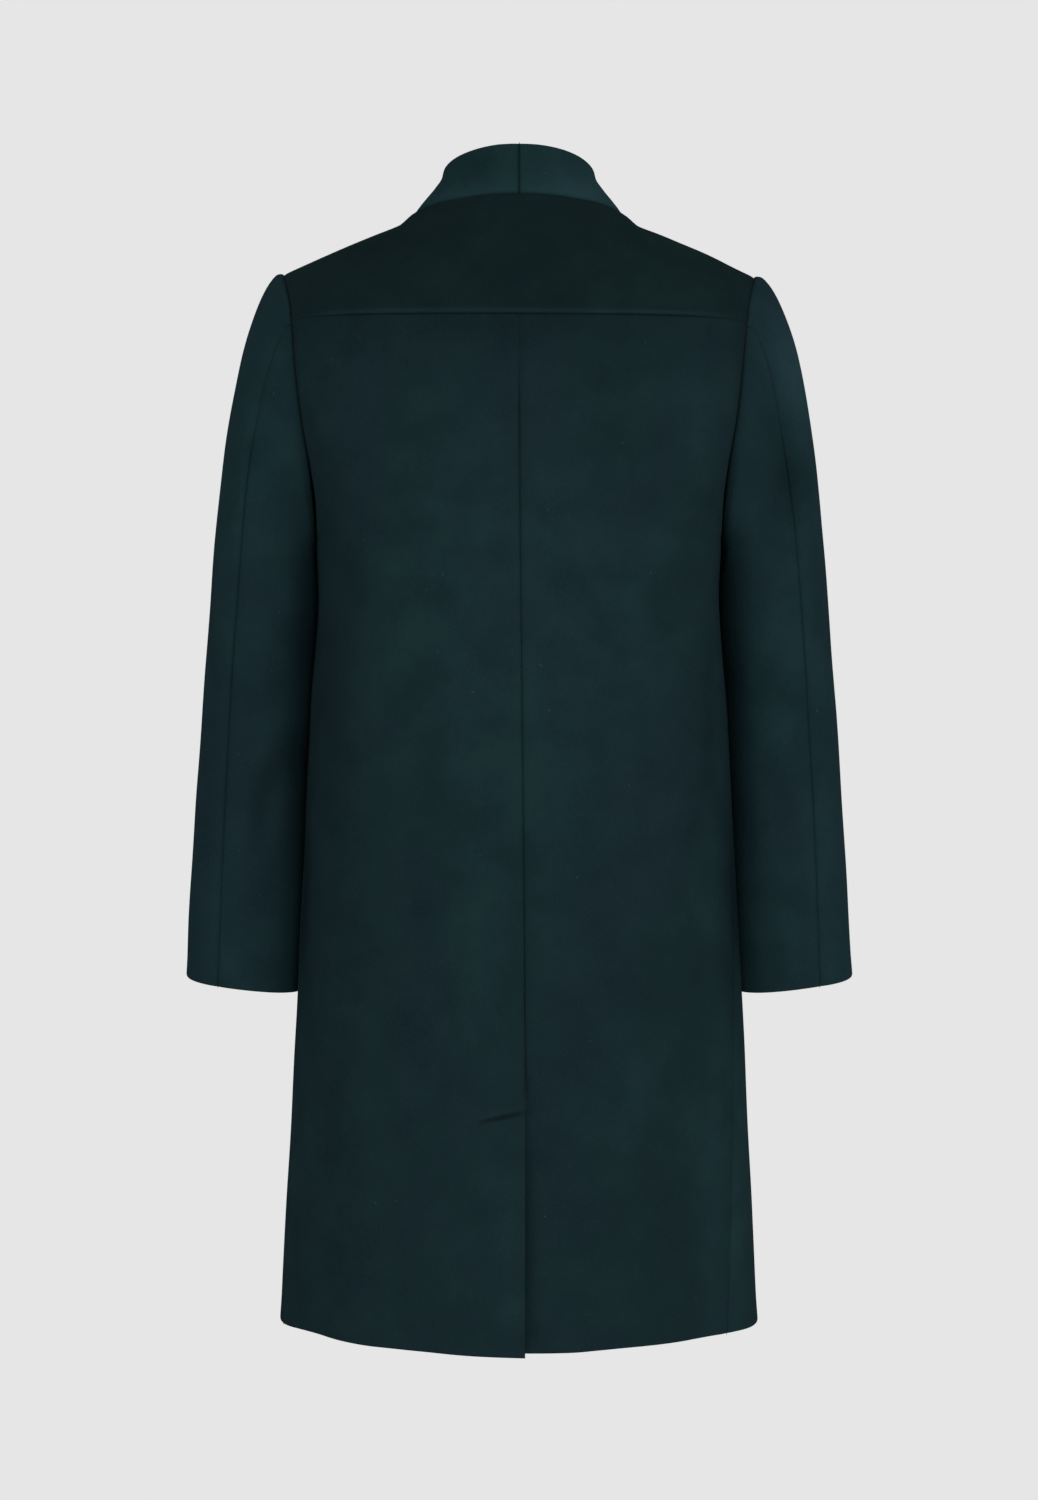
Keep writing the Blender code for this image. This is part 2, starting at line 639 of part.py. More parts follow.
def sleeve_tube(side, loop, loop_normals):
    """Rings of a left sleeve from the armhole's loop to the cuff, and their normals."""
    angles = sleeve_angles()
    biceps = SLEEVE_LEVELS[0].z
    full_roll = SLEEVE_ROLL_LEFT if side > 0 else SLEEVE_ROLL_RIGHT
    ahead = unit(np.roll(loop, -1, axis=0) - np.roll(loop, 1, axis=0))
    rings = [[] for _ in range(CAP_RINGS)]
    for place, seat, way, angle in zip(loop, loop_normals, ahead, angles):
        leave = unit(np.cross(seat, way))
        under = 0.5 * (1.0 - math.cos(math.radians(angle)))
        lift = math.radians(SLEEVE_LIFT_TOP + (SLEEVE_LIFT_UNDER - SLEEVE_LIFT_TOP) * under ** 2)
        start = math.cos(lift) * leave + math.sin(lift) * seat
        end = sleeve_section(side, angle, biceps)
        hang = SLEEVE_HANG * (place[2] - end[2])
        roll = full_roll * (1.0 - UNDERARM_ROLL_LOSS * under)
        handles = (place, place + roll * start, end + hang * unit((-SLEEVE_LEAN, 0.0, 1.0)), end)
        for ring, step in zip(rings, np.linspace(0.0, 1.0, CAP_RINGS + 1)):
            ring.append(bezier(handles, step ** CAP_RING_CROWDING))
    for z in np.linspace(biceps, SLEEVE_LEVELS[-1].z, ARM_RINGS + 1):
        rings.append([sleeve_section(side, angle, z) for angle in angles])
    points = np.array(rings)
    wrapped = np.concatenate((points[:, -1:], points, points[:, :1]), axis=1)
    normals = grid_normals(wrapped, 1.0)[:, 1:-1]
    away = points - points.mean(axis=1, keepdims=True)
    if np.sum(away * normals) < 0:
        normals = -normals
    return points, normals


def make_sleeve(side, names, loop, loop_normals):
    """Both pieces of one sleeve: the top one over the shoulder, the under one beside the body."""
    points, normals = sleeve_tube(side, loop, loop_normals)
    count = points.shape[1]
    back_seam = ARMHOLE_ROWS
    front_seam = count - FRONT_SEAM_ROW
    top = list(range(back_seam, front_seam + 1))
    under = list(range(front_seam, count)) + list(range(0, back_seam + 1))
    edges = {"first_row": SET_IN_GAP, "first_column": SEAM_GAP / 2, "last_column": SEAM_GAP / 2}
    for name, columns in zip(names, (top, under)):
        add_wall(name, mirrored(points[:, columns], side), mirrored(normals[:, columns], side),
                 edges, SLEEVE_WOOL)


def armhole_loop(side, back, yoke, front):
    """Points and normals round one armhole, as on the left, from the underarm up the back."""
    points, normals = [], []
    for part, seats in (back, yoke):
        points.append(mirrored(part, side))
        normals.append(mirrored(seats, side))
    front_points = mirrored(front[0], side)[::-1]
    front_normals = mirrored(front[1], side)[::-1]
    points.append(front_points[1:-1])
    normals.append(front_normals[1:-1])
    return np.concatenate(points), np.concatenate(normals)


def main():
    """Builds the coat piece by piece."""
    clear_scene()
    coat = bpy.data.collections.new(COLLECTION)
    bpy.context.scene.collection.children.link(coat)
    yoke_edge, yoke_normals, back_neck = make_yoke()
    for side, word in ((1, "left"), (-1, "right")):
        back = make_back(side, f"back_{word}")
        front = make_front(side, f"front_{word}")
        make_collar(side, f"collar_{word}", back_neck, mirrored(front[2], side))
        yoke = (mirrored(yoke_edge, side), mirrored(yoke_normals, side))
        loop, loop_normals = armhole_loop(side, back, yoke, front[:2])
        make_sleeve(side, (f"sleeve_{word}_top", f"sleeve_{word}_under"), loop, loop_normals)


main()
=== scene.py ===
"""Looks of the long wool coat: cloth shells with their creases, seams and stitching, the wool's
finish, and a plain studio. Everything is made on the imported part, in its own frame and in metres."""

import math
from collections import namedtuple

import bmesh
import bpy
import numpy as np
from bpy.props import FloatProperty, FloatVectorProperty, PointerProperty
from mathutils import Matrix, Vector


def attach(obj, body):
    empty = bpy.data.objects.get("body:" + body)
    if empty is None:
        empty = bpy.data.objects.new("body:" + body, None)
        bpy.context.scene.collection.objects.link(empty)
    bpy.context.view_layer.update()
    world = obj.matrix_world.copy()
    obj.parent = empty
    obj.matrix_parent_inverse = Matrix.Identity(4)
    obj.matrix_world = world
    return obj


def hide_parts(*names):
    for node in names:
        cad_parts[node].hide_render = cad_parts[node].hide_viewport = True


bl_info = {
    "name": "Long wool coat",
    "version": (1, 0, 0),
    "blender": (4, 5, 0),
    "location": "View3D > Sidebar > Coat",
    "description": "Dresses the packed long coat in melton wool, sews its seams and sets up the studio",
    "category": "Object",
}

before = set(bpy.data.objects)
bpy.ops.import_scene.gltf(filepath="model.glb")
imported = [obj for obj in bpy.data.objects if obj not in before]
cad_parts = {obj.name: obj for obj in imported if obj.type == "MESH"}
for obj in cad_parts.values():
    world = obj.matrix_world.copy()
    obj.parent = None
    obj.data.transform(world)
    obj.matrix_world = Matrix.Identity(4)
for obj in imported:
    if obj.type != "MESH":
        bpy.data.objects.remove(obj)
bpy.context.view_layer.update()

# Sides of the wearer, and which way each lies from the middle
SIDES = (("left", 1), ("right", -1))

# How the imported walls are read: points this close are one, and a wall bends this much at its rim
MERGE_DISTANCE = 1e-6
RIM_BEND = math.radians(45.0)

# Distances from a cloth edge at which a shell has rows of points, so that the edge is round
RIM_STEPS = (0.0, 0.00025, 0.0006, 0.0011, 0.0020, 0.0034, 0.0055, 0.0085)

# How far in from an edge the cloth is drawn out to meet the next piece, and how many rows give its way
RUN_ON_REACH = 0.0034
RUN_ON_ROWS = 4

# Level of the vent's top, and the height over which the centre back seam comes in above it
VENT_TOP_Z = -0.759
VENT_SEAM_FADE = 0.020

# Seams that are pressed flat towards their tops: the heights between which that comes in, for each kind of
# edge, and how far the edges then run into one another
PRESSED_Z = {"centre": (-0.190, -0.125), "sleeve_seam": (-0.215, -0.165)}
PRESSED_RUN_ON = 0.0005

# How the cloth lies at each kind of edge: height over the plain surface, how far in that reaches, how
# far the edge runs on to meet the next piece, and the painted shade along it (a painted highlight where it
# is positive)
EdgeShape = namedtuple("EdgeShape", "kind lift reach run_on tone")
EDGE_SHAPES = {row[0]: EdgeShape(*row) for row in (
    ("seam", -0.0010, 0.0036, 0.00018, -0.45),
    ("centre", -0.0010, 0.0036, 0.00018, -0.27),
    ("collar_centre", -0.0010, 0.0036, 0.00018, -0.60),
    ("yoke_end", -0.0007, 0.0036, 0.00018, -0.15),
    ("sleeve_seam", -0.0009, 0.0034, 0.00018, -0.28),
    ("set_in", -0.0010, 0.0036, 0.0010, -0.50),
    ("lapped", 0.0010, 0.0050, 0.0010, 0.50),
    ("under_lap", -0.0008, 0.0060, 0.0012, -0.50),
    ("roped", 0.0006, 0.0060, 0.0009, -0.18),
    ("turned", 0.0005, 0.0130, 0.0, 0.0),
    ("plain", 0.0, 0.0050, 0.0, 0.0),
)}

# How far from its line the painted shade reaches, and how far in from its edge a lap's painted highlight
# lies
EDGE_PAINTED_SHADE_REACH = 0.0014
LAP_HIGHLIGHT_AT = 0.0019

# The yoke's lap is pressed out towards the armholes, between these distances from the centre
YOKE_LAP_FULL = 0.125
YOKE_LAP_FLAT = 0.190
YOKE_LAP_PRESSED = 0.85

# The side seams are pressed more than the armholes above them
SIDE_SEAM_Z = (-0.400, -0.300)
SIDE_SEAM_PRESSED = 0.5

# Cut pieces. The two corners say which way the rows and columns of a wall run. Edges are those of the
# first row, the last row, the first column and the last column. Flat size and area are those of the
# finished cloth, without what is turned in.
Cut = namedtuple("Cut", "node wool corner along first_row last_row first_column last_column flat area")
CUTS = {cut.node: cut for cut in (
    Cut("back_left", "body", (-0.005, 0.150, -0.957), (0.204, 0.026, -0.956),
        "turned", "under_lap", "centre", "seam", (0.26, 0.885), 0.207),
    Cut("back_right", "body", (0.031, 0.146, -0.952), (-0.180, 0.075, -0.956),
        "turned", "under_lap", "centre", "seam", (0.24, 0.885), 0.190),
    Cut("front_left", "body", (-0.035, -0.140, -0.956), (0.204, 0.026, -0.956),
        "turned", "seam", "plain", "seam", (0.335, 1.03), 0.274),
    Cut("front_right", "body", (0.035, -0.143, -0.956), (-0.180, 0.075, -0.956),
        "turned", "seam", "plain", "seam", (0.395, 1.03), 0.292),
    Cut("yoke", "yoke", (-0.190, 0.065, -0.102), (0.190, 0.065, -0.098),
        "lapped", "seam", "yoke_end", "yoke_end", (0.445, 0.165), 0.058),
    *(Cut(f"collar_{side}", "collar", (0.0, 0.080, 0.007), (way * -0.035, -0.100, -0.087),
          "set_in", "plain", "collar_centre", "plain", (0.35, 0.06), 0.0149) for side, way in SIDES),
    *(Cut(f"sleeve_{side}_top", "sleeve", (way * 0.192, 0.062, -0.100), (way * 0.182, -0.072, -0.200),
          "roped", "turned", "sleeve_seam", "sleeve_seam", (0.205, 0.625), 0.115) for side, way in SIDES),
    *(Cut(f"sleeve_{side}_under", "sleeve", (way * 0.182, -0.072, -0.200), (way * 0.192, 0.062, -0.100),
          "set_in", "turned", "sleeve_seam", "sleeve_seam", (0.175, 0.58), 0.076) for side, way in SIDES),
)}

# Creases, each a soft trough or ridge along a path seen from behind (back) or in front, in x and z. The
# last is the trough under the vent's bar.
Crease = namedtuple("Crease", "cloth back path width depth")
CREASES = [Crease(*row) for row in (
    ("sleeve_left", True, ((0.200, -0.455), (0.2215, -0.505), (0.226, -0.557)), 0.010, -0.0026),
    ("sleeve_left", True, ((0.196, -0.395), (0.214, -0.420), (0.238, -0.432)), 0.014, -0.0016),
    ("sleeve_left", True, ((0.208, -0.330), (0.222, -0.372), (0.229, -0.425)), 0.016, 0.0014),
    ("sleeve_left", True, ((0.214, -0.590), (0.236, -0.612), (0.262, -0.618)), 0.014, -0.0012),
    ("sleeve_right", True, ((-0.206, -0.140), (-0.231, -0.195), (-0.236, -0.272)), 0.021, -0.0042),
    ("sleeve_right", True, ((-0.198, -0.395), (-0.226, -0.423), (-0.250, -0.430)), 0.015, -0.0018),
    ("sleeve_right", True, ((-0.204, -0.470), (-0.224, -0.500), (-0.232, -0.548)), 0.012, -0.0014),
    ("sleeve_right", True, ((-0.218, -0.585), (-0.244, -0.600), (-0.268, -0.598)), 0.015, -0.0011),
    ("sleeve_left", False, ((0.192, -0.402), (0.218, -0.418), (0.250, -0.412)), 0.010, -0.0024),
    ("sleeve_left", False, ((0.196, -0.446), (0.222, -0.452), (0.244, -0.442)), 0.009, -0.0020),
    ("sleeve_left", False, ((0.200, -0.300), (0.222, -0.338), (0.240, -0.392)), 0.014, -0.0016),
    ("sleeve_right", False, ((-0.192, -0.410), (-0.220, -0.424), (-0.248, -0.416)), 0.010, -0.0024),
    ("sleeve_right", False, ((-0.198, -0.452), (-0.224, -0.464), (-0.250, -0.460)), 0.010, -0.0018),
    ("sleeve_right", False, ((-0.198, -0.306), (-0.220, -0.340), (-0.236, -0.388)), 0.015, -0.0015),
    ("back_left", True, ((0.170, -0.250), (0.150, -0.310), (0.118, -0.362)), 0.016, -0.0014),
    ("back_left", True, ((0.176, -0.330), (0.164, -0.420), (0.158, -0.520)), 0.018, -0.0016),
    ("back_right", True, ((-0.168, -0.246), (-0.146, -0.318), (-0.112, -0.380)), 0.017, -0.0015),
    ("back_right", True, ((-0.172, -0.350), (-0.164, -0.450), (-0.160, -0.560)), 0.018, -0.0014),
    ("front_left", False, ((0.168, -0.250), (0.140, -0.300), (0.104, -0.330)), 0.016, -0.0018),
    ("front_left", False, ((0.168, -0.380), (0.156, -0.500), (0.150, -0.640)), 0.020, -0.0018),
    ("front_right", False, ((-0.168, -0.252), (-0.136, -0.306), (-0.098, -0.340)), 0.016, -0.0018),
    ("front_right", False, ((-0.170, -0.372), (-0.158, -0.480), (-0.154, -0.610)), 0.020, -0.0017),
    ("back_left", True, ((0.0345, -0.7675), (-0.0060, -0.7588)), 0.0021, -0.0011),
)]

# The ridge beside a crease, by its share of the depth and its distance in widths; the share of the path
# left out at each end and the power with which the ends fade; and how squarely cloth faces to take it all
CREASE_SHOULDER = 0.45
CREASE_SHOULDER_AT = 1.7
CREASE_END = 0.02
CREASE_FADE = 0.7
CREASE_FACING = 0.35

# Broad swells of the cloth, by their middle in x and z
Swell = namedtuple("Swell", "cloth x z width height depth")
SWELLS = [Swell(*row) for row in (
    ("back_left", 0.055, -0.200, 0.050, 0.070, 0.0016),
    ("back_left", 0.105, -0.420, 0.040, 0.140, -0.0016),
    ("back_left", 0.045, -0.560, 0.035, 0.160, 0.0014),
    ("back_left", 0.085, -0.800, 0.034, 0.130, 0.0018),
    ("back_left", 0.014, -0.850, 0.016, 0.055, 0.0016),
    ("back_left", 0.006, -0.925, 0.014, 0.022, 0.0018),
    ("back_right", -0.060, -0.210, 0.050, 0.070, 0.0016),
    ("back_right", -0.110, -0.400, 0.040, 0.120, -0.0016),
    ("back_right", -0.050, -0.600, 0.038, 0.170, 0.0012),
    ("back_right", -0.105, -0.830, 0.034, 0.110, 0.0016),
    ("sleeve_left_under", 0.186, -0.470, 0.022, 0.260, 0.0016),
    ("sleeve_right_under", -0.186, -0.470, 0.022, 0.260, 0.0016),
)]

# Patches of painted light and shade, seen from behind, by their middle in x and z: among them painted
# shadow beside the sleeves and beside the vent's lap, and painted highlights on the sleeve tops and the
# collar
PaintedLightPatch = namedtuple("PaintedLightPatch", "cloth x z width height tone")
PAINTED_LIGHT_PATCHES = [PaintedLightPatch(*row) for row in (
    ("back", -0.003, -0.360, 0.075, 0.150, 0.12),
    ("back", 0.0, -0.108, 0.300, 0.034, -0.26),
    ("back", 0.090, -0.170, 0.065, 0.050, -0.06),
    ("back", -0.085, -0.170, 0.045, 0.055, -0.13),
    ("yoke", 0.160, -0.080, 0.035, 0.025, 0.15),
    ("yoke", -0.150, -0.080, 0.035, 0.025, 0.05),
    ("back", 0.150, -0.500, 0.028, 0.170, -0.09),
    ("back", 0.079, -0.515, 0.012, 0.090, -0.08),
    ("back", -0.160, -0.410, 0.026, 0.130, -0.09),
    ("back", -0.130, -0.654, 0.050, 0.032, -0.14),
    ("back", -0.118, -0.875, 0.045, 0.060, -0.13),
    ("back", 0.096, -0.805, 0.050, 0.080, 0.05),
    ("back", -0.150, -0.188, 0.018, 0.040, 0.14),
    ("back_left", 0.012, -0.850, 0.016, 0.075, 0.14),
    ("back_left", 0.004, -0.922, 0.012, 0.020, 0.14),
    ("back_right", -0.007, -0.860, 0.006, 0.100, -0.32),
    ("back", -0.164, -0.850, 0.014, 0.130, 0.20),
    ("front_right", -0.172, -0.850, 0.022, 0.150, 0.30),
    ("back_left", 0.185, -0.585, 0.009, 0.085, -0.48),
    ("back_right", -0.184, -0.585, 0.0125, 0.085, -0.48),
    ("front_right", -0.188, -0.585, 0.0125, 0.085, -0.65),
    ("sleeve_left", 0.182, -0.480, 0.020, 0.190, -0.38),
    ("sleeve_left", 0.234, -0.400, 0.020, 0.050, -0.10),
    ("sleeve_right", -0.180, -0.500, 0.014, 0.190, -0.30),
    ("sleeve_left", 0.262, -0.600, 0.024, 0.070, 0.12),
    ("sleeve_right", -0.240, -0.130, 0.030, 0.055, 0.46),
    ("sleeve_right", -0.230, -0.232, 0.019, 0.042, -0.28),
    ("sleeve_right", -0.264, -0.600, 0.024, 0.070, 0.12),
    ("sleeve_right", -0.250, -0.440, 0.015, 0.036, -0.10),
    ("collar", 0.052, 0.006, 0.030, 0.014, 0.30),
    ("collar", -0.054, 0.010, 0.034, 0.018, 0.46),
    ("collar", 0.040, 0.038, 0.034, 0.018, -0.16),
)]

# Facing at which cloth starts to show a patch of painted light and shade and shows it all, and how dark the
# painted shade in troughs is for their slope
PAINTED_LIGHT_FACING = (-0.2, 0.2)
TROUGH_PAINTED_SHADE = 0.9

# Unevenness that wool keeps even when it is pressed, made of waves that run more across than down
UNEVEN_WAVES = 14
UNEVEN_WAY = (1.0, 1.0, 0.6)
UNEVEN_SHORTEST = 0.045
UNEVEN_LONGEST = 0.160
UNEVEN_SEED = 7

# Seams that show their thread: the cloth whose edge carries it, which edge, and between which heights
SeamLine = namedtuple("SeamLine", "node edge above below", defaults=(-math.inf, math.inf))
SEAM_LINES = (
    SeamLine("back_left", "first_column", VENT_TOP_Z, PRESSED_Z["centre"][0]),
    SeamLine("back_left", "last_column"),
    SeamLine("back_right", "last_column"),
    SeamLine("yoke", "last_row"),
    SeamLine("front_left", "last_row"),
    SeamLine("front_right", "last_row"),
    SeamLine("collar_left", "first_column"),
    *(SeamLine(f"sleeve_{side}_{half}", edge, below=below) for side, way in SIDES for half, edge, below in (
        ("top", "first_row", math.inf),
        ("under", "first_row", math.inf),
        ("top", "first_column", PRESSED_Z["sleeve_seam"][0]),
        ("top", "last_column", PRESSED_Z["sleeve_seam"][0]))),
)

# Edges where one piece lies on another, backed by its seam allowance as the seams are
LAP_LINES = (SeamLine("yoke", "first_row"), SeamLine("collar_left", "first_row"),
             SeamLine("collar_right", "first_row"))

# Stitched bar that holds the vent, on the left back panel, in x and z: its ends, how far each row of
# stitches is moved down, the points along a row, and how far the thread stands over the cloth there
VENT_BAR = ((0.0307, -0.7667), (-0.0020, -0.7597))
VENT_BAR_ROWS = (0.0, -0.0017)
VENT_BAR_POINTS = 24
VENT_BAR_LIFT = 0.0001

# A place on a shell is worked out from this many near points, and this is added to their distances
NEAR_POINTS = 4
NEAREST = 1e-5

# Rows that lie closer together, from one length above the hem to another and this far apart, so that the
# bar's trough shows
DENSE_ROWS = {"back_left": (0.180, 0.208, 0.0011)}

# Tones of the wool as shares of its colour: its own, greener patches, darker clouds and pale flecks
WOOL_TONES = {"Wool": (1.0, 1.0, 1.0), "Tint": (1.10, 1.34, 1.14), "Shade": (0.60, 0.66, 0.68),
              "Fleck": (2.1, 2.1, 2.1)}

# Noise that mixes those tones in: which tone, how the noise is stretched, its scale, detail, roughness and
# distortion, the values between which it goes from none to all, and how much of the tone it mixes in
WoolNoise = namedtuple("WoolNoise", "name tone stretch scale detail roughness distortion low high amount")
WOOL_NOISES = [WoolNoise(*row) for row in (
    ("Patch", "Tint", (1.0, 1.0, 0.5), 9.0, 3.0, 0.5, 0.8, 0.36, 0.64, 0.8),
    ("Cloud", "Shade", (1.0, 1.0, 1.0), 26.0, 4.0, 0.55, 0.0, 0.32, 0.68, 0.58),
    ("Fibre", "Fleck", (1.0, 1.0, 0.35), 1100.0, 3.0, 0.65, 0.6, 0.30, 0.70, 0.22),
    ("Speck", "Fleck", (1.0, 1.0, 1.0), 260.0, 1.0, 0.5, 0.0, 0.775, 0.84, 1.0),
)]

# Roughness of the wool from its lowest to its highest fibres, the bump they make, and its other finish
WOOL_ROUGH = (0.82, 0.98)
BUMP_STRENGTH = 0.35
BUMP_DISTANCE = 0.0005
WOOL_FINISH = ((0.0, "Specular IOR Level"), (0.01, "Sheen Weight"), (0.5, "Sheen Roughness"),
               ((0.55, 0.80, 0.88, 1.0), "Sheen Tint"))

# Thread: scale and detail of its twist, its darkest and lightest tone, and the rest of its finish
TWIST_SCALE = 2400.0
TWIST_DETAIL = 2.0
TWIST_TONES = (0.6, 1.5)
THREAD_FINISH = ((0.7, "Roughness"), (0.3, "Specular IOR Level"))

# A stitch is a drawn-out ball with this many sides and rings
STITCH_SIDES = 6
STITCH_RINGS = 5

# Large soft lights round the coat, with their share of the key light's power, where they are aimed, and the
# width of the camera's sensor in millimetres
SoftLight = namedtuple("SoftLight", "name place size share")
SOFT_LIGHTS = [SoftLight(*row) for row in (
    ("soft_light_left", (2.0, 1.5, 0.1), 1.8, 0.42),
    ("soft_light_right", (-2.0, 1.5, 0.1), 1.8, 0.72),
    ("soft_light_camera", (-0.2, 2.9, -0.35), 1.2, 0.95),
    ("soft_light_front_left", (1.6, -1.9, 0.4), 1.8, 0.7),
    ("soft_light_front_right", (-1.6, -1.9, 0.4), 1.8, 0.7),
    ("soft_light_top", (0.0, 1.5, 1.7), 1.8, 0.28),
)]
LIGHT_AIM = (0.0, 0.0, -0.45)
SENSOR_WIDTH = 36.0

# Floor: the shares of its radius between which it fades, its colour, grain and roughness, and its sides
FLOOR_FADE = (0.35, 0.98)
FLOOR_COLOUR = (0.92, 0.92, 0.92, 1.0)
FLOOR_GRAIN = 40.0
FLOOR_ROUGH = (0.75, 0.9)
FLOOR_SIDES = 96

# Numbers of the sockets of a node that mixes colours
MIX_FIRST, MIX_SECOND, MIX_RESULT = 6, 7, 2

# Shells made so far, by node, for the sewing
SHELLS = {}


def ease(value, low, high):
    """Smooth step from 0 at low to 1 at high."""
    share = np.clip((value - low) / (high - low), 0.0, 1.0)
    return share * share * (3.0 - 2.0 * share)


def unit(vectors):
    """Vectors along the last axis, made one long."""
    return vectors / np.linalg.norm(vectors, axis=-1, keepdims=True)


def metres(name, description, default):
    """Setting that is a length."""
    return FloatProperty(name=name, description=description, default=default, unit="LENGTH")


def colour(name, description, default):
    """Setting that is a colour."""
    return FloatVectorProperty(name=name, description=description, default=default, subtype="COLOR")


class CoatCloth(bpy.types.PropertyGroup):
    """Sizes of the cloth."""
    thickness: metres("Thickness", "Thickness of the wool", 0.0021)
    mesh_step: metres("Mesh step", "Distance between points of a shell", 0.0045)
    edge_round: metres("Edge rounding", "How far in the edges are rounded", 0.0016)
    unevenness: metres("Unevenness", "Height of the wool's unevenness", 0.0005)


class CoatColours(bpy.types.PropertyGroup):
    """Colours of the wool and of the thread."""
    # Each part has its own strength of the one wool's colour: the yoke darker, the collar and sleeves
    # lighter than the body
    body: colour("Body", "Wool of backs and fronts", (0.0109, 0.0246, 0.0300))
    yoke: colour("Yoke", "Wool of the yoke", (0.0075, 0.0163, 0.0181))
    collar: colour("Collar", "Wool of the collar", (0.0120, 0.0302, 0.0352))
    sleeve: colour("Sleeves", "Wool of the sleeves", (0.0118, 0.0273, 0.0340))
    thread: colour("Thread", "Sewing thread", (0.0040, 0.0085, 0.0100))


class CoatStitches(bpy.types.PropertyGroup):
    """Sizes of the stitches."""
    length: metres("Length", "Length of one stitch", 0.0030)
    pitch: metres("Pitch", "Distance from stitch to stitch", 0.0033)
    radius: metres("Thread radius", "Radius of the thread", 0.00028)
    depth: metres("Seam depth", "How deep the thread of a seam lies", -0.0002)
    allowance: metres("Seam allowance", "Radius of the cloth rolled in at a seam", 0.0015)
    allowance_depth: metres("Allowance depth", "How deep the allowance lies", 0.0030)


class CoatStudio(bpy.types.PropertyGroup):
    """Camera, light and floor."""
    camera_distance: metres("Camera distance", "Distance behind the coat", 2.4)
    camera_height: metres("Camera height", "Height over the neck points", -0.462)
    lens: FloatProperty(name="Lens", description="Focal length", default=66.2, unit="CAMERA")
    backdrop: colour("Backdrop", "Colour behind the coat", (0.791, 0.791, 0.791))
    ambient: FloatProperty(name="Ambient", description="Strength of light from all round", default=0.25)
    key: FloatProperty(name="Key light", description="Power of a soft light with a share of one",
                       default=25.0, unit="POWER")
    floor_z: metres("Floor", "Height of the floor under the coat", -1.42)
    floor_radius: metres("Floor radius", "Radius of the floor", 1.0)


def outer_side(wall):
    """Triangles of a wall's outer side: the larger of the two sides that its rim parts."""
    sides, seen = [], set()
    for first in wall.faces:
        if first in seen:
            continue
        side, waiting = {first}, [first]
        while waiting:
            for edge in waiting.pop().edges:
                if edge.calc_face_angle(math.pi) < RIM_BEND:
                    fresh = [face for face in edge.link_faces if face not in side]
                    side.update(fresh)
                    waiting.extend(fresh)
        seen |= side
        sides.append(side)
    return max(sides, key=lambda side: sum(face.calc_area() for face in side))


def border_loop(side, cut):
    """Points round a wall's outer side, from the cut's first corner, and how many lead to the second."""
    beside = {}
    for edge in {edge for face in side for edge in face.edges}:
        if sum(face in side for face in edge.link_faces) == 1:
            for vert in edge.verts:
                beside.setdefault(vert, []).append(edge.other_vert(vert))
    corners = [vert for vert in beside
               if sum(edge.calc_face_angle(0.0) > RIM_BEND for edge in vert.link_edges) > 2]
    first, second = (min(corners, key=lambda vert: (vert.co - Vector(place)).length)
                     for place in (cut.corner, cut.along))
    loop = [first, beside[first][0]]
    while loop[-1] != first:
        loop.append(next(vert for vert in beside[loop[-1]] if vert != loop[-2]))
    loop.pop()
    steps = loop.index(second)
    if 2 * steps > len(loop):
        loop = loop[:1] + loop[:0:-1]
        steps = len(loop) - steps
    return loop, steps


def wall_grid(cut):
    """Points of a wall's outer side in rows and columns, and the sign that turns its normals out."""
    wall = bmesh.new()
    wall.from_mesh(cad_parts[cut.node].data)
    bmesh.ops.remove_doubles(wall, verts=wall.verts, dist=MERGE_DISTANCE)
    wall.normal_update()
    side = outer_side(wall)
    loop, steps = border_loop(side, cut)
    rows = len(side) // (2 * steps) + 1
    if 2 * steps * (rows - 1) != len(side) or 2 * (steps + rows - 1) != len(loop):
        raise RuntimeError(f"{cut.node}: the packed wall isn't a grid of rows and columns")
    tips = {}
    for face in side:
        for vert in face.verts:
            tips.setdefault(frozenset(other for other in face.verts if other != vert), []).append(vert)
    grid = [loop[:steps + 1]]
    for number in range(1, rows):
        row = [loop[-number]]
        placed = set(grid[-2]) if number > 1 else set()
        for here, there in zip(grid[-1], grid[-1][1:]):
            over = tips[frozenset((here, there))]
            if row[-1] in over:
                row.append(next(vert for vert in tips[frozenset((there, row[-1]))] if vert != here))
            else:
                row.append(next(vert for vert in over if vert not in placed))
        grid.append(row)
    here, there, over = grid[0][0], grid[0][1], grid[1][0]
    face = next(face for face in here.link_faces if face in side and there in face.verts)
    out = (there.co - here.co).cross(over.co - here.co).dot(face.normal)
    points = np.array([[tuple(vert.co) for vert in row] for row in grid])
    wall.free()
    return points, math.copysign(1.0, out)


def smooth_between(values, knots, places, limited):
    """Smooth curve through rows of values; a limited one never swings past them."""
    slopes = np.gradient(values, knots, axis=0)
    spans = np.diff(knots).reshape(-1, *([1] * (values.ndim - 1)))
    if limited:
        rise = np.diff(values, axis=0) / spans
        before, after = rise[:-1], rise[1:]
        same_way = before * after > 0
        total = np.where(same_way, before + after, 1.0)
        slopes[1:-1] = np.where(same_way, 2.0 * before * after / total, 0.0)
        slopes[0], slopes[-1] = rise[0], rise[-1]
    index = np.clip(np.searchsorted(knots, places, side="right") - 1, 0, len(knots) - 2)
    span = spans[index]
    past = ((places - knots[index]).reshape(-1, *([1] * (values.ndim - 1)))) / span
    left = 1 - past
    low = (1 + 2 * past) * left ** 2 * values[index] + past * left ** 2 * span * slopes[index]
    high = past * past * (3 - 2 * past) * values[index + 1] - past * past * left * span * slopes[index + 1]
    return low + high


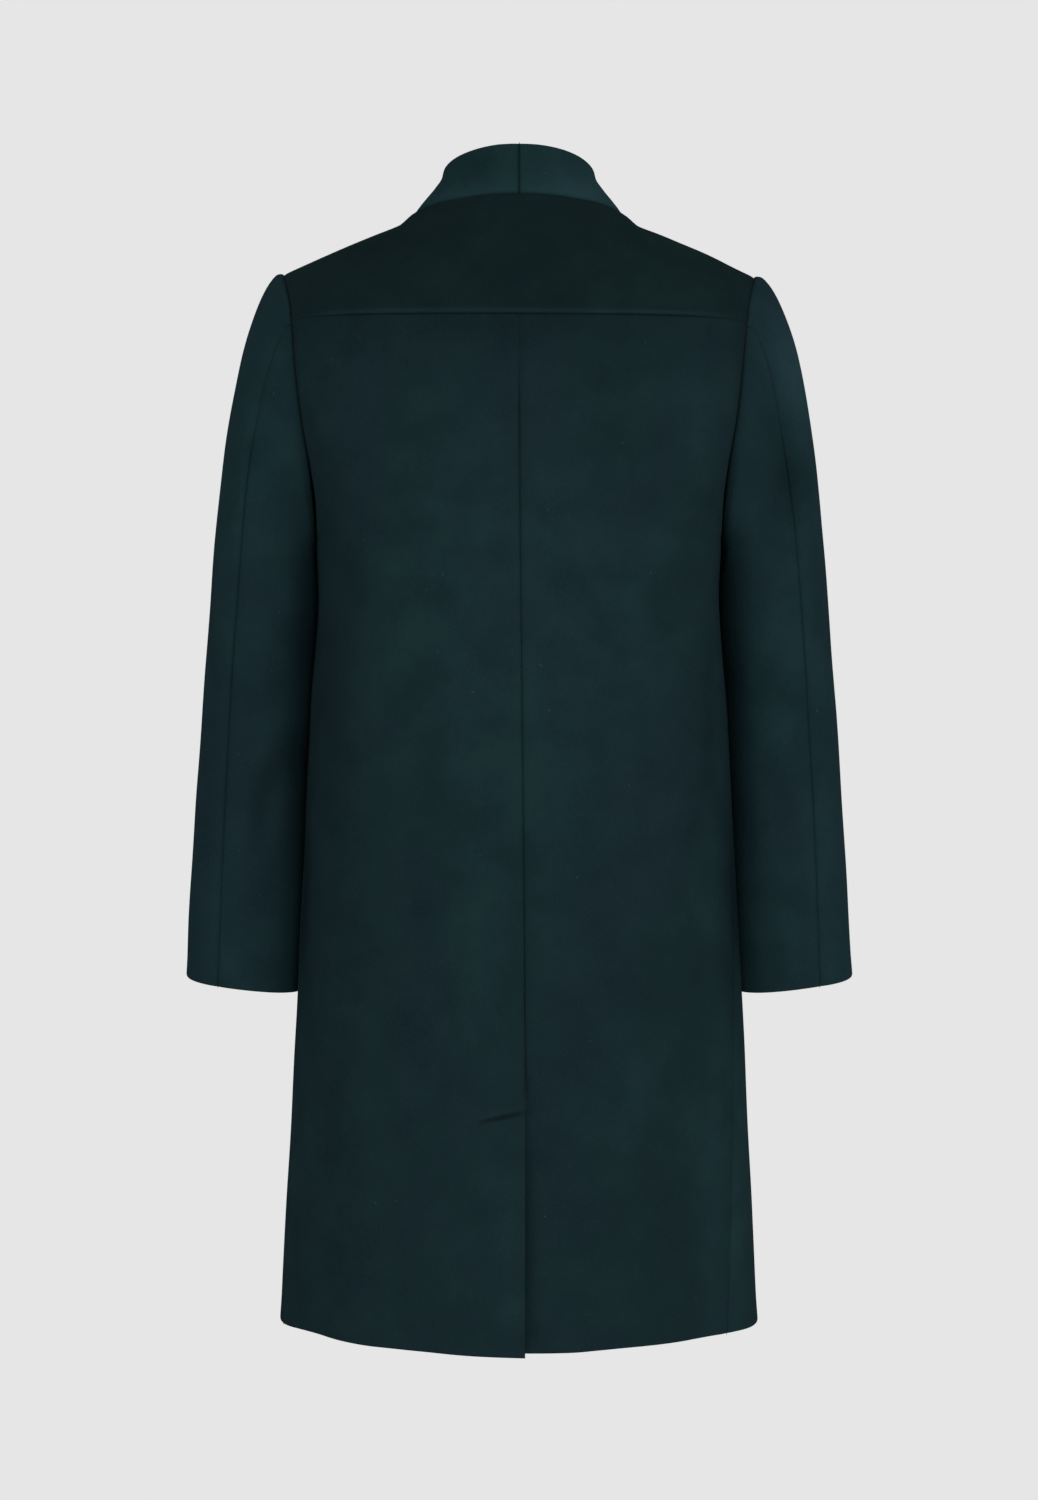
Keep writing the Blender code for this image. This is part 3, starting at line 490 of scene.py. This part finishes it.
def lengths_along(points, axis):
    """Distance of each point from the first along its row or column."""
    steps = np.linalg.norm(np.diff(points, axis=axis), axis=-1)
    start = np.zeros_like(np.take(steps, [0], axis=axis))
    return np.cumsum(np.concatenate((start, steps), axis=axis), axis=axis)


def spread(length, step):
    """Places along a length: close together at both ends, even between them."""
    rim = np.array(RIM_STEPS)
    count = max(2, int(math.ceil((length - 2 * rim[-1]) / step)))
    middle = np.linspace(rim[-1], length - rim[-1], count + 1)
    return np.concatenate((rim[:-1], middle, (length - rim[:-1])[::-1]))


def path_distance(x, z, path):
    """Signed distance from a path in x and z, and the share of its length at the nearest point."""
    ends = np.array(path)
    reach = np.concatenate(([0.0], np.cumsum(np.linalg.norm(np.diff(ends, axis=0), axis=1))))
    best = np.full(x.shape, np.inf)
    signed, share = np.zeros_like(x), np.zeros_like(x)
    for index, (start, end) in enumerate(zip(ends, ends[1:])):
        way = end - start
        length = np.linalg.norm(way)
        way = way / length
        along = np.clip((x - start[0]) * way[0] + (z - start[1]) * way[1], 0.0, length)
        off_x, off_z = x - start[0] - along * way[0], z - start[1] - along * way[1]
        away = np.hypot(off_x, off_z)
        closer = away < best
        side = np.where(off_x * way[1] - off_z * way[0] < 0, -1.0, 1.0)
        signed = np.where(closer, away * side, signed)
        share = np.where(closer, (reach[index] + along) / reach[-1], share)
        best = np.where(closer, away, best)
    return signed, share


def crease_move(points, normals, crease):
    """Height of one crease over the plain cloth: its trough, and a lower ridge on one side of it."""
    signed, share = path_distance(points[..., 0], points[..., 2], crease.path)
    facing = normals[..., 1] if crease.back else -normals[..., 1]
    ends = np.sin(math.pi * np.clip(share, CREASE_END, 1.0 - CREASE_END)) ** CREASE_FADE
    strength = crease.depth * ends * ease(facing, 0.0, CREASE_FACING)
    middle = np.exp(-((signed / crease.width) ** 2))
    beside = np.exp(-(((signed - CREASE_SHOULDER_AT * crease.width) / crease.width) ** 2))
    return strength * (middle - CREASE_SHOULDER * beside)


def uneven(points):
    """Soft unevenness at each point, between about -1 and 1."""
    draw = np.random.default_rng(UNEVEN_SEED)
    height = np.zeros(points.shape[:-1])
    for _ in range(UNEVEN_WAVES):
        way = unit(draw.normal(size=3) * np.array(UNEVEN_WAY))
        wave = draw.uniform(UNEVEN_SHORTEST, UNEVEN_LONGEST)
        height += np.sin(points @ way * 2.0 * math.pi / wave + draw.uniform(0.0, 2.0 * math.pi))
    return height / math.sqrt(UNEVEN_WAVES)


def hill(points, spot):
    """Soft hill, 1 high, over the middle of a swell or patch."""
    across = ((points[..., 0] - spot.x) / spot.width) ** 2
    return np.exp(-(across + ((points[..., 2] - spot.z) / spot.height) ** 2))


def pressed(kind, points):
    """Share by which a seam is pressed flat at each point."""
    if kind in ("lapped", "under_lap"):
        return YOKE_LAP_PRESSED * ease(np.abs(points[..., 0]), YOKE_LAP_FULL, YOKE_LAP_FLAT)
    if kind == "seam":
        return SIDE_SEAM_PRESSED * (1.0 - ease(points[..., 2], *SIDE_SEAM_Z))
    return ease(points[..., 2], *PRESSED_Z[kind]) if kind in PRESSED_Z else np.zeros(points.shape[:-1])


def edge_distances(points):
    """Distance of each point from the four edges of its piece, along its row or column."""
    up, across = lengths_along(points, 0), lengths_along(points, 1)
    return {"first_row": up, "last_row": up[-1:] - up,
            "first_column": across, "last_column": across[:, -1:] - across}


def run_on(cut, points, edges):
    """Points with their edges drawn out along the cloth, so that pieces meet at a seam."""
    moved = points.copy()
    for edge, away in edges.items():
        shape = EDGE_SHAPES[getattr(cut, edge)]
        reach = shape.run_on
        if shape.kind in PRESSED_Z:
            reach = reach + PRESSED_RUN_ON * pressed(shape.kind, points)
        axis = 0 if edge.endswith("row") else 1
        last = -1 if edge.startswith("last") else 0
        inner = last + RUN_ON_ROWS * (-1 if last else 1)
        way = unit(np.take(points, [last], axis=axis) - np.take(points, [inner], axis=axis))
        moved += way * (reach * np.clip(1.0 - away / RUN_ON_REACH, 0.0, 1.0))[..., None]
    return moved


def cloth_height(cut, points, normals, edges, cloth):
    """How far the cloth stands over its plain surface, with edges, creases, swells and unevenness."""
    height = cloth.unevenness * uneven(points)
    for edge, away in edges.items():
        shape = EDGE_SHAPES[getattr(cut, edge)]
        lift = shape.lift * np.exp(-((away / shape.reach) ** 2))
        if shape.kind in ("lapped", "under_lap"):
            lift = lift * (1.0 - pressed(shape.kind, points))
        if shape.kind == "centre":
            lift = lift * ease(points[..., 2], VENT_TOP_Z, VENT_TOP_Z + VENT_SEAM_FADE)
        height = height + lift
    for crease in CREASES:
        if cut.node.startswith(crease.cloth):
            height = height + crease_move(points, normals, crease)
    for swell in SWELLS:
        if cut.node == swell.cloth:
            height = height + swell.depth * hill(points, swell)
    return height


def painted_light_tone(cut, points, normals, edges):
    """Painted light and shade at each point: painted shade in seams and troughs, a painted highlight on lap
    ridges, and painted patches of light and shade.
    """
    tone = np.zeros(points.shape[:-1])
    # painted shade along seams and under laps, and a painted highlight on the ridge of a lap
    for edge, away in edges.items():
        shape = EDGE_SHAPES[getattr(cut, edge)]
        middle = LAP_HIGHLIGHT_AT if shape.kind == "lapped" else 0.0
        along = shape.tone * np.exp(-(((away - middle) / EDGE_PAINTED_SHADE_REACH) ** 2))
        along = along * (1.0 - pressed(shape.kind, points))
        if shape.kind == "centre":
            along = along * ease(points[..., 2], VENT_TOP_Z, VENT_TOP_Z + VENT_SEAM_FADE)
        tone = tone + along
    for crease in CREASES:
        if cut.node.startswith(crease.cloth):
            # painted shade in the crease's trough, darker for a steeper slope
            tone = tone + TROUGH_PAINTED_SHADE * crease_move(points, normals, crease) / crease.width
    # patches of painted light and shade, on cloth that faces the back
    for patch in PAINTED_LIGHT_PATCHES:
        if cut.node.startswith(patch.cloth):
            tone = tone + patch.tone * hill(points, patch) * ease(normals[..., 1], *PAINTED_LIGHT_FACING)
    return tone


def shell_mesh(name, outer, inner, lengths, tone, sign):
    """Closed shell of an outer and an inner grid that share their border, with UVs in metres and the
    painted light and shade.
    """
    rows, columns = outer.shape[:2]
    number = np.arange(rows * columns).reshape(rows, columns)
    under = number.copy()
    under[1:-1, 1:-1] = number.size + np.arange((rows - 2) * (columns - 2)).reshape(rows - 2, -1)

    def quads(grid):
        ring = (grid[:-1, :-1], grid[:-1, 1:], grid[1:, 1:], grid[1:, :-1])
        return np.stack([corner.ravel() for corner in ring], axis=1)

    faces = np.concatenate((quads(number), quads(under)[:, ::-1]))
    if sign < 0:
        faces = faces[:, ::-1]
    corners = np.concatenate((outer.reshape(-1, 3), inner[1:-1, 1:-1].reshape(-1, 3)))
    mesh = bpy.data.meshes.new(name)
    mesh.from_pydata(corners.tolist(), [], faces.tolist())
    flat = np.concatenate((lengths.reshape(-1, 2), lengths[1:-1, 1:-1].reshape(-1, 2)))
    layer = mesh.uv_layers.new(name="cloth_metres")
    layer.data.foreach_set("uv", flat[faces.ravel()].astype(np.float32).ravel())
    # painted light and shade, kept as an attribute that the wool reads
    nap_and_painted_light = mesh.attributes.new("painted_light_tone", "FLOAT", "POINT")
    tones = np.concatenate((tone.ravel(), tone[1:-1, 1:-1].ravel()))
    nap_and_painted_light.data.foreach_set("value", tones.astype(np.float32))
    mesh.update()
    mesh.shade_smooth()
    return mesh


def linked(name, mesh, material):
    """Object for a finished mesh, in the scene, with its material."""
    piece = bpy.data.objects.new(name, mesh)
    bpy.context.scene.collection.objects.link(piece)
    mesh.materials.clear()
    mesh.materials.append(material)
    return piece


def make_cloth(node):
    """One cut piece as a thin shell of wool on its packed wall."""
    cut = CUTS[node]
    cloth = bpy.context.scene.coat_cloth
    grid, sign = wall_grid(cut)
    up = lengths_along(grid, 0).mean(axis=1)
    across = lengths_along(grid, 1).mean(axis=0)
    rows, columns = spread(up[-1], cloth.mesh_step), spread(across[-1], cloth.mesh_step)
    if node in DENSE_ROWS:
        low, high, step = DENSE_ROWS[node]
        dense = np.arange(low, high, step)
        rows = np.concatenate((rows[rows < low - step], dense, rows[rows > high + step]))
    points = smooth_between(grid, up, rows, limited=True)
    points = smooth_between(points.swapaxes(0, 1), across, columns, limited=False).swapaxes(0, 1)
    normals = np.cross(np.gradient(points, columns, axis=1), np.gradient(points, rows, axis=0))
    normals = unit(normals) * sign
    edges = edge_distances(points)
    points = run_on(cut, points, edges)
    height = cloth_height(cut, points, normals, edges, cloth)
    rim = np.minimum.reduce(list(edges.values()))
    swing = np.clip(1.0 - rim / cloth.edge_round, 0.0, 1.0)
    half = 0.5 * cloth.thickness * np.sqrt(1.0 - swing ** 2)
    middle = points + normals * (height - 0.5 * cloth.thickness)[..., None]
    outer, inner = middle + normals * half[..., None], middle - normals * half[..., None]
    lengths = np.stack((edges["first_column"], edges["first_row"]), axis=-1)
    # painted light and shade of this piece
    tone = painted_light_tone(cut, points, normals, edges)
    mesh = shell_mesh(f"cloth_{node}", outer, inner, lengths, tone, sign)
    piece = linked(f"cloth_{node}", mesh, wool(cut.wool))
    SHELLS[node] = {"outer": outer, "normals": normals}
    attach(piece, "root")
    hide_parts(node)


def group_tree(name, kind, inputs, outputs):
    """Empty node group with named sockets, and its two end nodes."""
    tree = bpy.data.node_groups.new(name, kind)
    for direction, sockets in (("INPUT", inputs), ("OUTPUT", outputs)):
        for socket, holds in sockets:
            tree.interface.new_socket(name=socket, in_out=direction, socket_type=holds)
    return tree, tree.nodes.new("NodeGroupInput"), tree.nodes.new("NodeGroupOutput")


def feed(node, pairs):
    """Feeds a node's inputs, by name or number, from values, output sockets or nodes' first outputs."""
    for source, target in pairs:
        if isinstance(source, bpy.types.Node):
            source = source.outputs[0]
        if isinstance(source, bpy.types.NodeSocket):
            node.id_data.links.new(source, node.inputs[target])
        else:
            node.inputs[target].default_value = source


def add_node(tree, kind, pairs=(), **values):
    """Adds a node, sets its properties and feeds its inputs."""
    node = tree.nodes.new(kind)
    for name, value in values.items():
        setattr(node, name, value)
    feed(node, pairs)
    return node


def nap_and_painted_light_group():
    """Felted melton wool: cloudy colour, fine fibres, a few pale flecks, a height for the bump, and the
    colour scaled by painted light and shade.
    """
    tree = bpy.data.node_groups.get("melton_nap_and_painted_light")
    if tree:
        return tree
    shade, value = "NodeSocketColor", "NodeSocketFloat"
    inputs = [(tone, shade) for tone in WOOL_TONES] + [("Tone", value)]
    inputs += [(f"{noise.name} {what}", value) for noise in WOOL_NOISES for what in ("Scale", "Amount")]
    tree, start, end = group_tree("melton_nap_and_painted_light", "ShaderNodeTree", inputs,
                                  (("Colour", shade), ("Height", value), ("Roughness", value)))
    given = start.outputs
    place = tree.nodes.new("ShaderNodeTexCoord").outputs["Object"]
    mixed, fields, shares = given["Wool"], {}, {}
    for noise in WOOL_NOISES:
        stretched = add_node(tree, "ShaderNodeMapping", ((place, "Vector"), (noise.stretch, "Scale")))
        field = add_node(tree, "ShaderNodeTexNoise",
                         ((stretched, "Vector"), (given[f"{noise.name} Scale"], "Scale"),
                          (noise.detail, "Detail"), (noise.roughness, "Roughness"),
                          (noise.distortion, "Distortion")))
        share = add_node(tree, "ShaderNodeMapRange", ((field, "Value"), (noise.low, "From Min"),
                                                      (noise.high, "From Max")))
        amount = add_node(tree, "ShaderNodeMath", ((share, 0), (given[f"{noise.name} Amount"], 1)),
                          operation="MULTIPLY")
        mix = add_node(tree, "ShaderNodeMix",
                       ((amount, 0), (mixed, MIX_FIRST), (given[noise.tone], MIX_SECOND)), data_type="RGBA")
        fields[noise.name], shares[noise.name] = field, share
        mixed = mix.outputs[MIX_RESULT]
    rough = add_node(tree, "ShaderNodeMapRange", ((fields["Fibre"], "Value"), (WOOL_ROUGH[0], "To Min"),
                                                  (WOOL_ROUGH[1], "To Max")))
    # painted light and shade: the colour is scaled by one plus the painted tone
    painted_light_scale = add_node(tree, "ShaderNodeMath", ((given["Tone"], 0), (1.0, 1)), operation="ADD")
    painted_light_colour = add_node(tree, "ShaderNodeVectorMath", ((mixed, 0), (painted_light_scale, "Scale")), operation="SCALE")
    feed(end, ((painted_light_colour, "Colour"), (shares["Fibre"], "Height"), (rough, "Roughness")))
    return tree


def new_material(name):
    """Material with nodes, its tree and its Principled shader."""
    material = bpy.data.materials.new(name)
    material.use_nodes = True
    tree = material.node_tree
    return material, tree, tree.nodes["Principled BSDF"]


def wool(name):
    """Melton wool in one of the coat's colours, lightened and darkened by the painted light and shade of
    its shells.
    """
    material = bpy.data.materials.get(f"melton_{name}")
    if material:
        return material
    base = np.array(getattr(bpy.context.scene.coat_colours, name))
    material, tree, shader = new_material(f"melton_{name}")
    nap_and_painted_light = add_node(tree, "ShaderNodeGroup", node_tree=nap_and_painted_light_group())
    # painted light and shade, read from the shells' attribute
    tone = add_node(tree, "ShaderNodeAttribute", attribute_name="painted_light_tone")
    feed(nap_and_painted_light, ((tone.outputs["Fac"], "Tone"),
               *(((*base * shares, 1.0), kind) for kind, shares in WOOL_TONES.items())))
    for noise in WOOL_NOISES:
        feed(nap_and_painted_light, ((noise.scale, f"{noise.name} Scale"), (noise.amount, f"{noise.name} Amount")))
    bump = add_node(tree, "ShaderNodeBump", ((nap_and_painted_light.outputs["Height"], "Height"), (BUMP_STRENGTH, "Strength"),
                                             (BUMP_DISTANCE, "Distance")))
    feed(shader, ((nap_and_painted_light.outputs["Colour"], "Base Color"), (nap_and_painted_light.outputs["Roughness"], "Roughness"),
                  (bump, "Normal"), *WOOL_FINISH))
    return material


def thread_material():
    """Dark twisted sewing thread."""
    material = bpy.data.materials.get("sewing_thread")
    if material:
        return material
    base = np.array(bpy.context.scene.coat_colours.thread)
    material, tree, shader = new_material("sewing_thread")
    place = tree.nodes.new("ShaderNodeTexCoord").outputs["Object"]
    twist = add_node(tree, "ShaderNodeTexNoise", ((place, "Vector"), (TWIST_SCALE, "Scale"),
                                                  (TWIST_DETAIL, "Detail")))
    dark, light = ((*base * tone, 1.0) for tone in TWIST_TONES)
    mix = add_node(tree, "ShaderNodeMix", ((twist, 0), (dark, MIX_FIRST), (light, MIX_SECOND)),
                   data_type="RGBA")
    feed(shader, ((mix.outputs[MIX_RESULT], "Base Color"), *THREAD_FINISH))
    return material


def stitch_tree():
    """Geometry nodes that set small round-ended stitches along every path of a curve."""
    shape, value = "NodeSocketGeometry", "NodeSocketFloat"
    tree, start, end = group_tree(
        "stitch_row", "GeometryNodeTree",
        (("Geometry", shape), ("Stitch Length", value), ("Pitch", value), ("Thread Radius", value),
         ("Thread", "NodeSocketMaterial")), (("Geometry", shape),))
    given = start.outputs
    points = add_node(tree, "GeometryNodeCurveToPoints",
                      ((given["Geometry"], "Curve"), (given["Pitch"], "Length")), mode="LENGTH")
    half = add_node(tree, "ShaderNodeMath", ((given["Stitch Length"], 0), (0.5, 1)), operation="MULTIPLY")
    size = add_node(tree, "ShaderNodeCombineXYZ",
                    ((given["Thread Radius"], "X"), (given["Thread Radius"], "Y"), (half, "Z")))
    bead = add_node(tree, "GeometryNodeMeshUVSphere", ((STITCH_SIDES, "Segments"), (STITCH_RINGS, "Rings"),
                                                        (1.0, "Radius")))
    sewn = add_node(tree, "GeometryNodeInstanceOnPoints",
                    ((points, "Points"), (bead, "Instance"),
                     (points.outputs["Rotation"], "Rotation"), (size, "Scale")))
    real = add_node(tree, "GeometryNodeRealizeInstances", ((sewn, "Geometry"),))
    smooth = add_node(tree, "GeometryNodeSetShadeSmooth", ((real, "Geometry"),))
    dyed = add_node(tree, "GeometryNodeSetMaterial", ((smooth, "Geometry"), (given["Thread"], "Material")))
    feed(end, ((dyed, "Geometry"),))
    return tree


def draw_line(name, paths):
    """Curve object that carries paths until they are made into a mesh."""
    line = bpy.data.curves.new(f"{name}_line", "CURVE")
    line.dimensions = "3D"
    for path in paths:
        spline = line.splines.new("POLY")
        spline.points.add(len(path) - 1)
        spline.points.foreach_set("co", np.column_stack((path, np.ones(len(path)))).ravel())
    carrier = bpy.data.objects.new(f"{name}_line", line)
    bpy.context.scene.collection.objects.link(carrier)
    return carrier


def make_plain(carrier, name, material):
    """Plain mesh of what a curve object shows, in its place, riding with the coat."""
    graph = bpy.context.evaluated_depsgraph_get()
    mesh = bpy.data.meshes.new_from_object(carrier.evaluated_get(graph), depsgraph=graph)
    bpy.data.objects.remove(carrier, do_unlink=True)
    if not mesh.polygons:
        raise RuntimeError(f"{name}: nothing was made along its lines")
    mesh.name = name
    piece = linked(name, mesh, material)
    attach(piece, "root")


def roll_allowance(name, paths):
    """The cloth that is turned in along seams, as a narrow roll behind each."""
    carrier = draw_line(name, paths)
    carrier.data.bevel_depth = bpy.context.scene.coat_stitches.allowance
    carrier.data.bevel_resolution = 1
    carrier.data.use_fill_caps = True
    make_plain(carrier, name, wool("body"))


def sew(name, paths):
    """Stitches along paths, as one mesh."""
    sizes = bpy.context.scene.coat_stitches
    carrier = draw_line(name, paths)
    tree = bpy.data.node_groups.get("stitch_row") or stitch_tree()
    modifier = carrier.modifiers.new("stitches", "NODES")
    modifier.node_group = tree
    settings = {"Stitch Length": sizes.length, "Pitch": sizes.pitch, "Thread Radius": sizes.radius,
                "Thread": thread_material()}
    for item in tree.interface.items_tree:
        if item.in_out == "INPUT" and item.name in settings:
            modifier[item.identifier] = settings[item.name]
    make_plain(carrier, name, thread_material())


def edge_path(line, depth):
    """Path of a seam's thread: a cloth edge, sunk under the outer face."""
    shell = SHELLS[line.node]
    pick = {"first_row": np.s_[0, :], "last_row": np.s_[-1, :],
            "first_column": np.s_[:, 0], "last_column": np.s_[:, -1]}[line.edge]
    points = shell["outer"][pick] - shell["normals"][pick] * depth
    return points[(points[:, 2] > line.above) & (points[:, 2] < line.below)]


def surface_path(node, ends, count, drop):
    """Path on a shell's outer face between two places given in x and z, moved down by a drop."""
    shell = SHELLS[node]
    outer = shell["outer"].reshape(-1, 3)
    normals = shell["normals"].reshape(-1, 3)
    found = []
    for x, z in np.linspace(*np.array(ends), count) + np.array((0.0, drop)):
        away = np.hypot(outer[:, 0] - x, outer[:, 2] - z)
        close = np.argsort(away)[:NEAR_POINTS]
        weights = 1.0 / (away[close] + NEAREST)
        spot = np.average(outer[close], axis=0, weights=weights)
        normal = unit(np.average(normals[close], axis=0, weights=weights))
        found.append(np.array((x, spot[1], z)) + normal * VENT_BAR_LIFT)
    return np.array(found)


class ClothStep:
    """Step that makes cut pieces, named with what each hangs from."""
    hung_from = {}

    def execute(self, context):
        for node, others in self.hung_from.items():
            make_cloth(node)
        return {"FINISHED"}


class COAT_OT_yoke(ClothStep, bpy.types.Operator):
    """Make the yoke over both shoulders"""
    bl_idname = "coat.yoke"
    bl_label = "Yoke"
    hung_from = {"yoke": []}


class COAT_OT_backs(ClothStep, bpy.types.Operator):
    """Make the two back panels with their lapped vent"""
    bl_idname = "coat.backs"
    bl_label = "Back panels"
    hung_from = {"back_left": ["cloth_yoke"], "back_right": ["cloth_yoke"]}


class COAT_OT_fronts(ClothStep, bpy.types.Operator):
    """Make the two lapped fronts"""
    bl_idname = "coat.fronts"
    bl_label = "Fronts"
    hung_from = {"front_left": ["cloth_yoke"], "front_right": ["cloth_yoke"]}


class COAT_OT_collar(ClothStep, bpy.types.Operator):
    """Make both halves of the standing collar"""
    bl_idname = "coat.collar"
    bl_label = "Collar"
    hung_from = {"collar_left": ["cloth_yoke"], "collar_right": ["cloth_yoke"]}


class COAT_OT_sleeves(ClothStep, bpy.types.Operator):
    """Make the top and under pieces of both sleeves"""
    bl_idname = "coat.sleeves"
    bl_label = "Sleeves"
    hung_from = {"sleeve_left_top": ["cloth_yoke"], "sleeve_left_under": ["cloth_back_left"],
                 "sleeve_right_top": ["cloth_yoke"], "sleeve_right_under": ["cloth_back_right"]}


class COAT_OT_sewing(bpy.types.Operator):
    """Sew the seams and the bar over the vent"""
    bl_idname = "coat.sewing"
    bl_label = "Sewing"

    def execute(self, context):
        sizes = context.scene.coat_stitches
        sew("seam_threads", [edge_path(line, sizes.depth) for line in SEAM_LINES])
        roll_allowance("seam_allowances", [edge_path(line, sizes.allowance_depth)
                                           for line in SEAM_LINES + LAP_LINES])
        rows = [surface_path("back_left", VENT_BAR, VENT_BAR_POINTS, drop) for drop in VENT_BAR_ROWS]
        sew("vent_bar_stitches", rows)
        return {"FINISHED"}


def soft_light(light, key):
    """Large square light that faces the coat's middle."""
    lamp = bpy.data.lights.new(light.name, "AREA")
    lamp.shape = "SQUARE"
    lamp.size = light.size
    lamp.energy = key * light.share
    item = bpy.data.objects.new(light.name, lamp)
    item.location = light.place
    aim = Vector(LIGHT_AIM) - Vector(light.place)
    item.rotation_euler = aim.to_track_quat("-Z", "Y").to_euler()
    bpy.context.scene.collection.objects.link(item)


def floor_material():
    """Pale floor that fades out towards its rim."""
    material, tree, shader = new_material("pale_floor")
    place = tree.nodes.new("ShaderNodeTexCoord").outputs["Object"]
    flat = add_node(tree, "ShaderNodeVectorMath", ((place, 0), ((1.0, 1.0, 0.0), 1)), operation="MULTIPLY")
    away = add_node(tree, "ShaderNodeVectorMath", ((flat, 0),), operation="LENGTH")
    radius = bpy.context.scene.coat_studio.floor_radius
    fade = add_node(tree, "ShaderNodeMapRange",
                    ((away.outputs["Value"], "Value"), (radius * FLOOR_FADE[0], "From Min"),
                     (radius * FLOOR_FADE[1], "From Max"), (1.0, "To Min"), (0.0, "To Max")),
                    interpolation_type="SMOOTHSTEP")
    grain = add_node(tree, "ShaderNodeTexNoise", ((place, "Vector"), (FLOOR_GRAIN, "Scale")))
    rough = add_node(tree, "ShaderNodeMapRange", ((grain, "Value"), (FLOOR_ROUGH[0], "To Min"),
                                                  (FLOOR_ROUGH[1], "To Max")))
    feed(shader, ((FLOOR_COLOUR, "Base Color"), (fade, "Alpha"), (rough, "Roughness")))
    return material


def studio_world(studio):
    """Even light from all round, and the plain backdrop that the camera sees."""
    world = bpy.data.worlds.new("studio")
    bpy.context.scene.world = world
    world.use_nodes = True
    tree = world.node_tree
    tree.nodes.clear()
    light = add_node(tree, "ShaderNodeBackground", (((1.0, 1.0, 1.0, 1.0), "Color"),
                                                    (studio.ambient, "Strength")))
    seen = add_node(tree, "ShaderNodeBackground", (((*studio.backdrop, 1.0), "Color"), (1.0, "Strength")))
    path = tree.nodes.new("ShaderNodeLightPath")
    mix = add_node(tree, "ShaderNodeMixShader", ((path.outputs["Is Camera Ray"], 0), (light, 1), (seen, 2)))
    add_node(tree, "ShaderNodeOutputWorld", ((mix, "Surface"),))


class COAT_OT_studio(bpy.types.Operator):
    """Set up camera, soft lights, backdrop and pale floor"""
    bl_idname = "coat.studio"
    bl_label = "Studio"

    def execute(self, context):
        scene, studio = context.scene, context.scene.coat_studio
        scene.view_settings.view_transform = "Standard"
        scene.view_settings.look = "None"
        lens = bpy.data.cameras.new("studio_camera")
        lens.sensor_width = SENSOR_WIDTH
        lens.lens = studio.lens
        camera = bpy.data.objects.new("studio_camera", lens)
        camera.location = (0.0, studio.camera_distance, studio.camera_height)
        camera.rotation_euler = (math.pi / 2, 0.0, math.pi)
        scene.collection.objects.link(camera)
        scene.camera = camera
        for light in SOFT_LIGHTS:
            soft_light(light, studio.key)
        studio_world(studio)
        disc = bmesh.new()
        bmesh.ops.create_circle(disc, cap_ends=True, cap_tris=False, segments=FLOOR_SIDES,
                                radius=studio.floor_radius)
        bmesh.ops.translate(disc, verts=disc.verts, vec=(0.0, 0.0, studio.floor_z))
        mesh = bpy.data.meshes.new("floor")
        disc.to_mesh(mesh)
        disc.free()
        linked("floor", mesh, floor_material())
        return {"FINISHED"}


class COAT_PT_panel(bpy.types.Panel):
    """Steps that make the coat, in order, with their sizes"""
    bl_idname = "COAT_PT_panel"
    bl_label = "Long wool coat"
    bl_space_type = "VIEW_3D"
    bl_region_type = "UI"
    bl_category = "Coat"

    def draw(self, context):
        for step in STEPS:
            self.layout.operator(step.bl_idname)
        for group in SETTINGS:
            box = self.layout.box()
            settings = getattr(context.scene, group)
            for name in settings.bl_rna.properties.keys():
                if name not in ("rna_type", "name"):
                    box.prop(settings, name)


STEPS = (COAT_OT_yoke, COAT_OT_backs, COAT_OT_fronts, COAT_OT_collar, COAT_OT_sleeves, COAT_OT_sewing,
         COAT_OT_studio)
SETTINGS = {"coat_cloth": CoatCloth, "coat_colours": CoatColours, "coat_stitches": CoatStitches,
            "coat_studio": CoatStudio}


def register():
    for group in SETTINGS.values():
        bpy.utils.register_class(group)
    for name, group in SETTINGS.items():
        setattr(bpy.types.Scene, name, PointerProperty(type=group))
    for item in (*STEPS, COAT_PT_panel):
        bpy.utils.register_class(item)


def unregister():
    for item in (COAT_PT_panel, *reversed(STEPS)):
        bpy.utils.unregister_class(item)
    for name, group in SETTINGS.items():
        delattr(bpy.types.Scene, name)
        bpy.utils.unregister_class(group)


def main():
    register()
    for step in STEPS:
        family, name = step.bl_idname.split(".")
        getattr(getattr(bpy.ops, family), name)()


if __name__ == "__main__":
    main()
